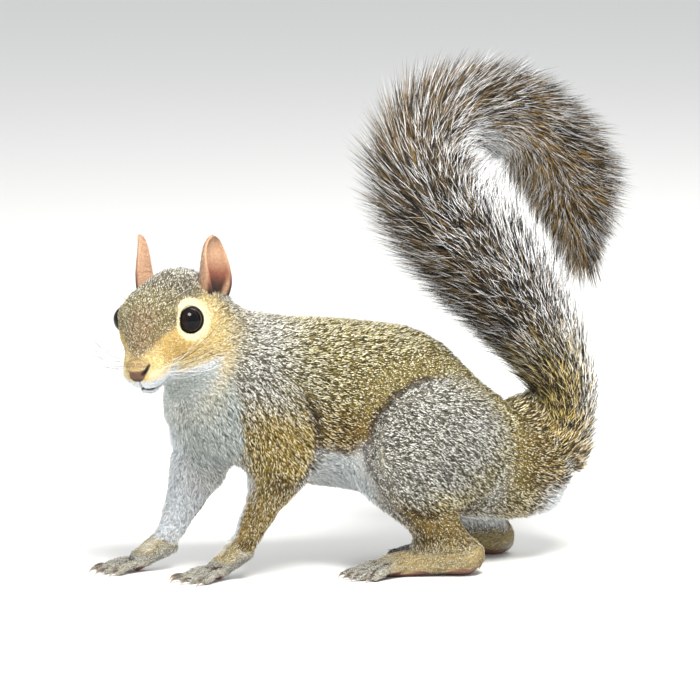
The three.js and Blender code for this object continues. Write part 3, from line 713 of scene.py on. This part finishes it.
def blades(name, mine, lines, radii, upward, values, unwrapped, steps, sides=3, flat=0.5):
    """Closed slender hairs as one piece: mine says which of the given ones. lines holds each hair's points
    from root to tip, at these steps of its length, radii half its thickness at all but the two ends, values
    what is written at its vertices and unwrapped its root on the map."""
    lines, radii, upward, unwrapped = (given[mine] for given in (lines, radii, upward, unwrapped))
    count, rings = radii.shape
    slopes = unit(np.gradient(lines, axis=1))[:, 1:-1]
    across = unit(np.cross(slopes, upward[:, None]))
    over = np.cross(across, slopes)
    angle = 2 * np.pi * np.arange(sides) / sides
    ring = across[:, :, None] * np.cos(angle)[:, None] + over[:, :, None] * np.sin(angle)[:, None] * flat
    ring = lines[:, 1:-1, None] + ring * radii[:, :, None, None]
    ring = ring.reshape(count, -1, 3)
    vertices = np.concatenate([ring, lines[:, :1], lines[:, -1:]], axis=1).reshape(-1, 3)
    each = rings * sides + 2
    root, top, tip = each - 2, (rings - 1) * sides, each - 1
    pattern = []
    for side in range(sides):
        after = (side + 1) % sides
        pattern += [(after, side, root), (top + side, top + after, tip)]
        for base in range(0, top, sides):
            pattern.append((base + side, base + after, base + sides + after))
            pattern.append((base + side, base + sides + after, base + sides + side))
    pattern = np.array(pattern)
    corners = (pattern[None] + each * np.arange(count)[:, None, None]).ravel()
    mesh = bpy.data.meshes.new(name)
    mesh.vertices.add(len(vertices))
    mesh.vertices.foreach_set("co", vertices.astype(np.float32).ravel())
    mesh.loops.add(len(corners))
    mesh.loops.foreach_set("vertex_index", corners.astype(np.int32))
    mesh.polygons.add(len(corners) // 3)
    mesh.polygons.foreach_set("loop_start", np.arange(0, len(corners), 3, dtype=np.int32))
    mesh.update(calc_edges=True)
    mesh.polygons.foreach_set("use_smooth", np.ones(len(corners) // 3, bool))
    along = np.concatenate([np.repeat(steps[1:-1], sides), [0, 1]])
    turned = np.append(np.tile(np.arange(sides) / sides, rings), [0.5, 0.5])
    write(mesh, "along", np.tile(along, count))
    for key, value in values.items():
        write(mesh, key, np.repeat(value[mine], each, axis=0))
    patch = np.stack([turned - 0.5, along - 0.5], axis=1) * 0.003
    unwrap = (unwrapped[:, None] * 0.99 + 0.005 + patch[None]).reshape(-1, 2)
    layer = mesh.uv_layers.new(name="OFBake")
    layer.data.foreach_set("uv", unwrap[corners].astype(np.float32).ravel())
    piece = linked(name, mesh)
    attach(piece, "root")
    return piece


def strands(leader, shared, own):
    """A number for each hair, partly its tuft's and partly its own, spread evenly from 0 to 1."""
    count = len(leader)
    strand = shared * chance.random(count)[leader] + own * chance.random(count)
    return np.argsort(np.argsort(strand)) / count


density, length, thickness, depth = soften(by_part(HAIR, parts), edges, 20).T
on_ear = kind == EAR_LEAF
face = fade(20, -14, ahead) * (parts == flesh.index("head")) + (parts != flesh.index("head"))
face = soften(face, edges, 10)
length *= 0.38 + 0.62 * face
thickness *= 0.75 + 0.25 * face
depth *= 0.35 + 0.65 * face
by_eye = 0.4 + 0.6 * fade(7.5, 14, from_eye)
length *= by_eye
depth *= by_eye
density *= (1 + 0.6 * (1 - face)) * fade(0.6, 0.3, bare) * fade(6.8, 7.2, from_eye)
density *= np.where(on_ear, 0.8 * (leaf_height > 0.15), 1)
density *= np.where(kind == SKIN, from_eye >= 7.0, 1) * (canal_shade < 0.3)
round_thigh = fade(0.02, 0.3, soften(is_thigh, edges, 40))
length *= 1 - 0.6 * round_thigh * fade(0.6, 0.4, is_thigh)
length *= 1 - 0.6 * np.exp(-(((above_lip - 1) / 1.6) ** 2)) * fade(10, 14, ahead)
length, depth, thickness = (
    np.where(on_ear, short, values) for short, values in ((1.1, length), (0.3, depth), (0.2, thickness))
)

shares = np.linspace(0, 0.95, 120)
middle = tail_at(shares)[0]
gap = np.linalg.norm(at_body[:, None] - middle[None], axis=2)
closest = np.argmin(gap, axis=1)
on_core = (gap.min(axis=1) < 1.5 * tail_core(shares[closest])) & (shares[closest] > 0.06)
density *= 1 - on_core

pick = scatter(density)
root, normal, way, tinted = pick(points), unit(pick(normals)), pick(lie), pick(tint)
reach, deep, thick, darks, pales = (pick(values) for values in (length, depth, thickness, dark, pale))
count = len(root)
leader = clumps(root, TUFT)
swing = chance.normal(0, SWING, count) + chance.normal(0, SWING, count)[leader]
way = unit(way - normal * (way * normal).sum(axis=1, keepdims=True))
sideways = np.cross(normal, way)
way = way * np.cos(swing)[:, None] + sideways * np.sin(swing)[:, None]
strand = strands(leader, 0.12, 0.88)
reach = reach * chance.uniform(0.65, 1.15, count)
lift = np.arcsin(np.clip(deep / reach * chance.uniform(0.75, 1.2, count), 0.1, 0.85))
ring = 0.8 * fade(0.02, 0.25, darks)
tip = np.where((strand > 1 - 1.2 * pales)[:, None], tinted**0.3, tinted * 0.9)  # pale, or its own tint
tip = np.where((strand < darks)[:, None], PALETTE["black"], tip)
tinted = np.clip(tinted * chance.uniform(0.8, 1.15, count)[:, None], 0, 0.95)
under = tinted * (0.2 + 0.6 * fade(0.3, 0.0, darks))[:, None]

spot, spot_head = to_body(root), to_head(root)
part_here = parts_at(root, flesh)
first_word = np.array([node.split("_")[0] for node in flesh])[part_here]
is_fore_foot = (first_word == "foot") & (spot[:, 1] < -25)
is_hind_foot = (first_word == "foot") & (spot[:, 1] >= -25)
left = spot[:, 0] > 0


def turn_about(points, centre, across, upright):
    """The angle of points about an axis through centre, from 0 to 1."""
    offset = points - centre
    return np.arctan2(offset @ np.array(across), offset @ np.array(upright)) / (2 * np.pi) + 0.5


def leg_map(left_at, right_at):
    """A pair of legs unrolled side by side: the angle round each, and the height."""
    centre = np.where(left[:, None], left_at, right_at)
    around = turn_about(spot, centre, (1, 0, 0), (0, 1, 0))
    return np.stack([(left + around) / 2, spot[:, 2] / 95], axis=1)


trunk_map = np.stack([turn_about(spot, (0, 0, 62), (1, 0, 0), (0, 0, 1)), (spot[:, 1] + 95) / 215], axis=1)
around_head = turn_about(spot_head, (0, 0, -6), (0, 1, 0), (0, 0, 1))
head_map = np.stack([around_head, (spot_head[:, 0] + 50) / 80], axis=1)
fore_map, hind_map = leg_map((19, -50, 0), (-16, -72, 0)), leg_map((28, 25, 0), (-22, 50, 0))
on_torso = np.isin(first_word, ["trunk", "tail"])
COATS = {  # the hairs of each piece, and their map
    "coat_head": (first_word == "head", head_map),
    "coat_neck": (first_word == "neck", trunk_map),
    "coat_back": (on_torso & (normal[:, 2] > 0.2), trunk_map),
    "coat_belly_and_sides": (on_torso & (normal[:, 2] <= 0.2), trunk_map),
    "coat_thighs": (first_word == "thigh", hind_map),
    "coat_fore_legs": (np.isin(first_word, ["upper", "forearm"]) | is_fore_foot, fore_map),
    "coat_shanks_and_hind_feet": ((first_word == "shank") | is_hind_foot, hind_map),
}
steps = np.array([0, 0.55, 1])
start, end = (
    way * np.cos(share * lift)[:, None] + normal * np.sin(share * lift)[:, None] for share in (1.5, 0.5)
)
curve = steps[None, :, None] * start[:, None] + steps[None, :, None] ** 2 / 2 * (end - start)[:, None]
sunk = np.minimum(0.3, 0.05 * reach)
line = (root - normal * sunk[:, None] * MM)[:, None] + reach[:, None, None] * MM * curve
line = line + (line[leader] - line) * (GATHER * steps**1.3)[None, :, None]
radii = thick[:, None] / 2 * MM
values = {"root": under, "tint": tinted, "tip": tip, "strand": strand, "ring": ring}
coats = [
    blades(name, mine, line, radii, normal, values, np.clip(unwrapped, 0, 1), steps)
    for name, (mine, unwrapped) in COATS.items()
]

# ---------------------------------------------------------------- the brush of the tail
# Long, nearly straight hairs spread from the core of the tail all round and fill the brush, crossing each
# other. Their bands are wide: brown at the root, then black, and many end in a long white tip.
RUN = ([0, 0.15, 0.45, 0.6, 0.84, 0.94], [0.04, 0.07, 0.08, 0.06, 0.05, 0.09])
count = 76000
TAIL_END = 0.94  # share of the tail where the last hairs grow
UMBER, BLACK, WHITE = (0.18, 0.12, 0.05), (0.022, 0.018, 0.014), (0.86, 0.88, 0.90)
FOOT_TINT, FOOT_TIP = (0.52, 0.41, 0.13), (0.66, 0.50, 0.18)
share = chance.random(count) ** 0.95 * TAIL_END
turned = chance.random(count) * 2 * np.pi
fill = 1.02 - 0.6 * chance.random(count) ** 1.3  # how far out of the brush the tip reaches
stray = chance.random(count) < 0.08  # these stand out past the others
fill = np.where(stray, chance.uniform(1.0, 1.1, count), fill)
run = np.interp(share, *RUN) * chance.uniform(0.6, 1.3, count)  # how far up the tail a hair reaches
run = run * np.where(share > 0.8, chance.uniform(0.5, 1.15, count), 1)
swing = chance.normal(0, TAIL_SWING, count)


def in_brush(share, angle, distance):
    """Points of the brush, and the direction out of it there. Past its end they go straight on."""
    middle, along, side, front, reach = tail_frame(share)
    out = side * np.cos(angle)[:, None] + front * np.sin(angle)[:, None]
    past = np.maximum(share - 1, 0)[:, None] * 250
    return from_body(middle + out * (distance * reach)[:, None] * [1.08, 1, 1] + along * past), out


reach = tail_at(share)[2]
base, outward = in_brush(share, turned, (tail_core(share) - 0.4) / reach)
end = in_brush(share + run, turned + swing, fill)[0] + chance.normal(0, 1.6 * MM, (count, 3))
leader = clumps(end, TAIL_TUFT)
end = end + (end[leader] - end) * GATHER
bow = (base + end) / 2 + outward * (np.linalg.norm(end - base, axis=1) * 0.14)[:, None]
steps = np.array([0, 0.5, 1])
t = steps[None, :, None]
line = (1 - t) ** 2 * base[:, None] + 2 * t * (1 - t) * bow[:, None] + t**2 * end[:, None]

# White edges the brush behind, brown shows inside the curl, and black lies over the front of its foot.
rear = fade(-0.1, 0.8, -np.sin(turned))
curl = fade(0.56, 0.66, share) * fade(0.35, -0.3, np.sin(turned))
foot = fade(0.26, 0.1, share)
strand = strands(leader, 0.55, 0.45)
tinted = np.array(UMBER) * (1 + 0.9 * curl)[:, None]
tinted = tinted + (FOOT_TINT - tinted) * foot[:, None]
whites = 0.15 + 0.6 * rear * fade(0.72, 0.58, share) + 0.05 * curl
whites = whites + 0.16 * fade(0.8, 1, fill) + 0.12 * foot
blacks = whites + (0.52 - 0.25 * curl - 0.08 * foot) * (1 - 0.6 * rear * (share < 0.68))
tip = np.where((strand < blacks)[:, None], BLACK, tinted * 1.25)
golden = (foot * (1 - rear))[:, None]
tip = np.where((strand < whites)[:, None], WHITE * (1 - golden) + FOOT_TIP * golden, tip)
radii = np.where(strand < whites, 0.17, 0.19)[:, None] * chance.uniform(0.8, 1.2, (count, 1)) * MM
ring = 0.95 - 0.6 * curl * (chance.random(count) < 0.8)
values = {"root": tinted * 0.2, "tint": tinted, "tip": tip, "strand": strand, "ring": ring}
unwrapped = np.stack([turned / (2 * np.pi), share / TAIL_END], axis=1)
PIECES = 4
for number in range(PIECES):
    mine = (share >= TAIL_END * number / PIECES) & (share < TAIL_END * (number + 1) / PIECES)
    own_map = np.clip(unwrapped * [1, PIECES] - [0, number], 0, 1)
    name = f"coat_tail_{number + 1}"
    coats.append(blades(name, mine, line, radii, outward, values, own_map, steps, flat=0.7))

# ---------------------------------------------------------------- the colours of hair and skin
# One node group bands a hair from root to tip. The skin between the hairs takes the colour of the place,
# darkened as underfur and broken up by noise. Where it is bare it shows plain skin.
bands = bpy.data.node_groups.new("banded_hair", "ShaderNodeTree")
for label in ("Root", "Tint", "Tip", "Along", "Strand", "Ring", "Ring start", "Tip start"):
    socket = "NodeSocketColor" if label in ("Root", "Tint", "Tip") else "NodeSocketFloat"
    bands.interface.new_socket(label, in_out="INPUT", socket_type=socket)
bands.interface.new_socket("Colour", in_out="OUTPUT", socket_type="NodeSocketColor")
given = bands.nodes.new("NodeGroupInput").outputs


def feed(tree, made, inputs):
    """Gives the sockets of a node either their values or the sockets that they are linked to."""
    for key, value in inputs.items():
        if isinstance(value, bpy.types.NodeSocket):
            tree.links.new(value, made.inputs[key])
        else:
            made.inputs[key].default_value = value


def node(tree, kind, inputs, **settings):
    made = tree.nodes.new("ShaderNode" + kind)
    for key, value in settings.items():
        setattr(made, key, value)
    feed(tree, made, inputs)
    return made


def mixed(tree, factor, first, second, blend="MIX"):
    return node(tree, "Mix", {0: factor, 6: first, 7: second}, data_type="RGBA", blend_type=blend).outputs[2]


def ramp(tree, value, low, high):
    return node(tree, "MapRange", {0: value, 1: low, 2: high}, interpolation_type="SMOOTHSTEP").outputs[0]


def maths(tree, operation, first, second):
    return node(tree, "Math", {0: first, 1: second}, operation=operation).outputs[0]


def spread(tree, value, low, high):
    """A value from 0 to 1, made to run from low to high."""
    return node(tree, "MapRange", {0: value, 3: low, 4: high}).outputs[0]


RING_BLACK = (0.03, 0.025, 0.02, 1)
place_on_hair = maths(bands, "ADD", given["Along"], spread(bands, given["Strand"], -0.06, 0.06))
banded = mixed(bands, ramp(bands, place_on_hair, 0.08, 0.4), given["Root"], given["Tint"])
ring_start, tip_start = given["Ring start"], given["Tip start"]
rise = ramp(bands, place_on_hair, ring_start, maths(bands, "ADD", ring_start, 0.1))
banded = mixed(bands, maths(bands, "MULTIPLY", rise, given["Ring"]), banded, RING_BLACK)
rise = ramp(bands, place_on_hair, tip_start, maths(bands, "ADD", tip_start, 0.08))
banded = mixed(bands, rise, banded, given["Tip"])
shade = spread(bands, given["Strand"], 0.85, 1.1)
varied = node(bands, "VectorMath", {0: banded, "Scale": shade}, operation="SCALE").outputs[0]
feed(bands, bands.nodes.new("NodeGroupOutput"), {"Colour": varied})


def new_material(name, roughness, specular=0.5):
    made = bpy.data.materials.new(name)
    made.use_nodes = True
    shader = made.node_tree.nodes["Principled BSDF"]
    shader.inputs["Roughness"].default_value = roughness
    shader.inputs["Specular IOR Level"].default_value = specular
    return made, made.node_tree, shader


def written(tree, name, output="Fac"):
    """What is written at the vertices under this name: a number, or with Color a colour."""
    return node(tree, "Attribute", {}, attribute_name=name).outputs[output]


def own_place(tree):
    return node(tree, "TexCoord", {}).outputs["Object"]


def noise(tree, place, scale, detail):
    return node(tree, "TexNoise", {"Vector": place, "Scale": scale, "Detail": detail}).outputs["Fac"]


def hair_material(name, ring_start, tip_start, roughness):
    made, tree, shader = new_material(name, roughness, 0.2)
    inputs = {"Ring start": ring_start, "Tip start": tip_start}
    inputs |= {label.capitalize(): written(tree, label, "Color") for label in ("root", "tint", "tip")}
    inputs |= {label.capitalize(): written(tree, label) for label in ("along", "strand", "ring")}
    banded_hair = node(tree, "Group", {}, node_tree=bands)
    feed(tree, banded_hair, inputs)
    feed(tree, shader, {"Base Color": banded_hair.outputs["Colour"]})
    return made


coat_paint = hair_material("banded_coat", 0.42, 0.64, 0.6)
brush_paint = hair_material("banded_brush", 0.3, 0.62, 0.55)
for piece in coats:
    piece.data.materials.append(brush_paint if "tail" in piece.name else coat_paint)

only(hide)
bpy.ops.object.shade_smooth()
for name, values in (("tint", tint), ("bare", bare), ("dark", dark)):
    write(hide.data, name, values)
skin_paint, tree, shader = new_material("underfur_and_skin", 0.7, 0.25)
grain = noise(tree, own_place(tree), 900, 3)
pores = node(tree, "TexVoronoi", {"Vector": own_place(tree), "Scale": 2600}).outputs["Distance"]
own, shown = written(tree, "tint", "Color"), written(tree, "bare")
PALE_DEEP, FLECKED_DEEP = (0.85, 0.82, 0.80, 1), (0.26, 0.24, 0.23, 1)  # how dark the coat is between hairs
deep = mixed(tree, ramp(tree, written(tree, "dark"), 0.0, 0.3), PALE_DEEP, FLECKED_DEEP)
under = mixed(tree, 1.0, own, deep, "MULTIPLY")
furry = mixed(tree, maths(tree, "MULTIPLY", ramp(tree, grain, 0.4, 0.7), 0.4), under, own)
skin = mixed(tree, ramp(tree, grain, 0.3, 0.75), mixed(tree, 0.25, own, (0, 0, 0, 1)), own)
height = node(tree, "Mix", {0: shown, 2: grain, 3: pores}, data_type="FLOAT").outputs[0]
bump = node(tree, "Bump", {"Height": height, "Strength": 0.5, "Distance": 0.4 * MM}).outputs["Normal"]
rough = spread(tree, shown, 0.85, 0.45)
feed(tree, shader, {"Base Color": mixed(tree, shown, furry, skin), "Normal": bump, "Roughness": rough})
hide.data.materials.clear()
hide.data.materials.append(skin_paint)
hide.data.polygons.foreach_set("material_index", np.zeros(len(hide.data.polygons), np.int32))
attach(hide, "root")
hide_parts(*flesh, "ear_left", "ear_right")

# ---------------------------------------------------------------- the eyes
# Each eye is a dark, wet ball that sits in its lids, nearly black all over. A deep brown iris shows only as
# a faint ring round the pupil.
PUPIL, IRIS = (5.2 * MM, 4.8 * MM), (2.6 * MM, 3.2 * MM)  # where their edges fade, along the gaze
for side, name in ((1, "left"), (-1, "right")):
    centre = from_head([EYE_AT * [1, side, 1]])[0]
    bpy.ops.mesh.primitive_uv_sphere_add(segments=64, ring_count=40, radius=EYE_RADIUS - 0.05 * MM)
    eye = bpy.context.object
    gaze = Vector(head_turn @ eye_look[side])
    eye.matrix_world = Matrix.Translation(centre) @ gaze.to_track_quat("Z", "Y").to_matrix().to_4x4()
    bpy.ops.object.transform_apply()
    eye.name = "eyeball_" + name
    bpy.ops.object.shade_smooth()
    eye_paint, tree, shader = new_material("wet_dark_eye_" + name, 0.04, 0.14)
    offset = node(tree, "VectorMath", {0: own_place(tree), 1: centre}, operation="SUBTRACT").outputs[0]
    aimed = node(tree, "VectorMath", {0: offset, 1: gaze}, operation="DOT_PRODUCT").outputs["Value"]
    iris = mixed(tree, noise(tree, offset, 1500, 4), (0.005, 0.003, 0.003, 1), (0.012, 0.007, 0.005, 1))
    pupil = ramp(tree, aimed, *PUPIL)
    edge = ramp(tree, aimed, *IRIS)
    ball = mixed(tree, edge, (0.003, 0.003, 0.003, 1), iris)
    feed(tree, shader, {"Base Color": mixed(tree, pupil, (0.003, 0.003, 0.004, 1), ball)})
    eye.data.materials.append(eye_paint)
    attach(eye, "root")
    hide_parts("eye_" + name)

# ---------------------------------------------------------------- the claws
# A curved claw of dark horn with a paler tip grows out of the end of every toe: four on each fore foot and
# five on each hind foot. Each is a tapering tube, swept along one bent line.
FOOT = {  # middle of the ball of the foot, its heading in degrees, its side
    "fore_left": ((13.5, -63), 20, 1), "fore_right": ((-16.5, -90), 7, -1),
    "hind_left": ((24, 10), 14, 1), "hind_right": ((-18.5, 44), -4, -1),
}
TOES = {  # lengths, how far they fan out in degrees, how far apart they start, half their thickness
    "fore": ((12.5, 15.5, 15.5, 12.5), 13, 3.1, 1.9), "hind": ((11, 16, 17, 16.5, 12.5), 7, 3.4, 2.2),
}
CLAW = [  # how far out and up from the end of the toe, and its radius
    (-1.0, 1.0, 1.0), (0.6, 1.25, 0.98), (1.9, 1.15, 0.82), (3.1, 0.75, 0.62), (4.1, 0.05, 0.38),
    (4.9, -0.75, 0.1),
]
CLAW_RINGS, CLAW_SIDES, CLAW_BREADTH = 12, 10, 0.62
claws = []
ring_angle = np.linspace(0, 2 * np.pi, CLAW_SIDES, endpoint=False)[:, None]
for foot, (at, aim, side) in FOOT.items():
    lengths, fan, spacing, thick_toe = TOES[foot[:4]]
    for number, toe in enumerate(lengths):
        place = (number - (len(lengths) - 1) / 2) * side
        heading, aimed = math.radians(aim + place * fan), math.radians(aim)
        forward = np.array([math.sin(heading), -math.cos(heading), 0])
        across = np.array([-forward[1], forward[0], 0]) * CLAW_BREADTH
        start = np.array([*at, 0]) + np.array([math.cos(aimed), math.sin(aimed), 0]) * place * spacing
        start = start + forward * toe + [0, 0, thick_toe - 0.6]
        path, _ = through(CLAW, np.linspace(0, len(CLAW) - 1 - 1e-6, CLAW_RINGS))
        path[:, 1] = np.maximum(path[:, 1], 0.45 + path[:, 2] * 0.8 - thick_toe + 0.6)  # clear of the floor
        slope = unit(np.gradient(path[:, :2], axis=0))
        rows = []
        for (step, up_here, radius), (run_here, rise_here) in zip(path, slope):
            middle = start + forward * step + [0, 0, up_here]
            top = np.array([0, 0, 1]) * run_here - forward * rise_here
            rows.append(middle + (across * np.cos(ring_angle) + top * np.sin(ring_angle)) * radius)
        rows = np.concatenate([*rows, [rows[0].mean(axis=0), rows[-1].mean(axis=0)]])
        claws.append(mesh_piece("claw", from_body(rows), tube_faces(CLAW_RINGS, CLAW_SIDES)))
claws = joined(claws, "claws")
bpy.ops.object.shade_smooth()
claw_paint, tree, shader = new_material("dark_horn", 0.35)
place = own_place(tree)
low = ramp(tree, node(tree, "SeparateXYZ", {0: place}).outputs[2], 2.2 * MM, 0.6 * MM)
horn = mixed(tree, noise(tree, place, 1200, 3), (0.035, 0.022, 0.016, 1), (0.10, 0.065, 0.045, 1))
feed(tree, shader, {"Base Color": mixed(tree, low, horn, (0.42, 0.34, 0.26, 1))})
claws.data.materials.append(claw_paint)
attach(claws, "root")

# ---------------------------------------------------------------- the whiskers
# Whiskers are long stiff hairs of horn. They stand in rows on the pads of the upper lip, swept back past the
# cheeks, with a few over each eye and on each cheek. Each is a slender bent spike that starts on the hide.
hide_tree = BVHTree.FromPolygons(points.tolist(), triangles.tolist())
WHISKERS = [  # the first of a row: forward, out and up on the head; and how many
    (21.5, 7, -10.0, 4), (21.0, 7.5, -11.8, 5), (20.5, 8, -13.6, 5), (19.5, 8, -15.4, 4), (5, 9, 11.5, 3),
    (2, 17, -12, 2),
]
WHISKER_STEPS = np.linspace(0, 1, 7)[:, None]
WHISKER_RADII = (0.08, 0.072, 0.062, 0.05, 0.036)
lines, ups, shades = [], [], []
for side in (1, -1):
    for forward_at, out_at, up_at, number in WHISKERS:
        for which in range(number):
            on_pad = forward_at > 15
            back_by = 2.1 * which if on_pad else 1.2 * which
            root_at = from_head([[forward_at - back_by, out_at * side, up_at]])[0]
            found, normal_at, _, _ = hide_tree.find_nearest(Vector(root_at))
            long = (chance.uniform(24, 34) + 3.5 * which) if on_pad else chance.uniform(16, 22)
            astray = chance.normal(0, 0.07, 3)
            if on_pad:
                over = up_at + 12  # the middle of the pad
                first = (0.35 - 0.1 * which, 0.9 * side, 0.12 + 0.05 * over)
                last = (-1.0, (0.22 if side > 0 else 0.75) * side, 0.1 + 0.09 * over)
            else:
                first = (0.1, 0.8 * side, 0.5 * np.sign(up_at))
                last = (-0.8, 0.5 * side, 0.3 * np.sign(up_at))
            first, last = (head_turn @ unit(way_at + astray) for way_at in (first, last))
            bend = WHISKER_STEPS**2 * 0.5 * (last - first) * 1.3
            lines.append(np.array(found) + long * MM * (WHISKER_STEPS * first + bend))
            ups.append(np.array(normal_at))
            shades.append(chance.random())
lines, ups, shades = np.array(lines), np.array(ups), np.array(shades)
radii = np.tile(WHISKER_RADII, (len(lines), 1)) * MM
colour = np.where((shades < 0.6)[:, None], [0.03, 0.022, 0.018], [0.75, 0.72, 0.66])
values = {"root": colour, "tint": colour, "tip": colour, "strand": shades, "ring": np.zeros(len(lines))}
rows = np.stack([np.arange(len(lines)) / len(lines), np.full(len(lines), 0.5)], axis=1)
every = np.arange(len(lines))
whiskers = blades("whiskers", every, lines, radii, ups, values, rows, WHISKER_STEPS[:, 0], sides=5, flat=1)
NO_RING, NO_TIP = 2, 2.5  # past the end of the hair, so it has no bands
whiskers.data.materials.append(hair_material("whisker_horn", NO_RING, NO_TIP, 0.35))

# ---------------------------------------------------------------- the studio
# A plain pale floor of painted board lies under pale air. One large soft lamp stands high to the camera's
# right, a wide fill to its left and a third lamp behind, and the camera is a long lens away, a little above.
bpy.ops.mesh.primitive_plane_add(size=30)
floor = bpy.context.object
floor.name = "floor"
paint, tree, shader = new_material("pale_floor", 0.9)
shader.inputs["Base Color"].default_value = (0.74, 0.74, 0.73, 1)
floor.data.materials.append(paint)

target = Vector(from_body([[0, 0, 94.6]])[0])  # what the lamps and the camera are turned to


def stand(name, data, azimuth, elevation, distance):
    """Stands a lamp or a camera, turned to the animal, so many degrees round from the front and up."""
    placed = linked(name, data)
    a, e = math.radians(azimuth), math.radians(elevation)
    back = Vector((math.sin(a) * math.cos(e), -math.cos(a) * math.cos(e), math.sin(e)))
    placed.location = target + back * distance
    placed.rotation_euler = back.to_track_quat("Z", "Y").to_euler()
    return placed


def lamp(name, azimuth, elevation, distance, size, power, colour):
    light = bpy.data.lights.new(name, "AREA")
    light.shape = "DISK"
    light.size = size
    light.energy = power
    light.color = colour
    stand(name, light, azimuth, elevation, distance)


lamp("key_light", 90, 53, 1.5, 0.65, 43, (1.0, 0.97, 0.92))
lamp("fill_light", 20, 25, 1.8, 1.2, 5, (0.93, 0.96, 1.0))
lamp("back_light", 230, 50, 1.6, 0.8, 10, (1.0, 0.98, 0.95))

world = bpy.data.worlds.new("studio_air")
world.use_nodes = True
air = world.node_tree.nodes["Background"].inputs
air["Color"].default_value = (0.93, 0.95, 0.97, 1)
air["Strength"].default_value = 0.8
bpy.context.scene.world = world
bpy.context.scene.view_settings.view_transform = "Standard"

CAMERA_DISTANCE, VIEW_WIDTH = 3.0, 0.298  # metres, the second at the animal
camera = stand("camera", bpy.data.cameras.new("camera"), 75, 8, CAMERA_DISTANCE)
camera.data.sensor_width = 36
camera.data.lens = 36 * CAMERA_DISTANCE / VIEW_WIDTH
bpy.context.scene.camera = camera
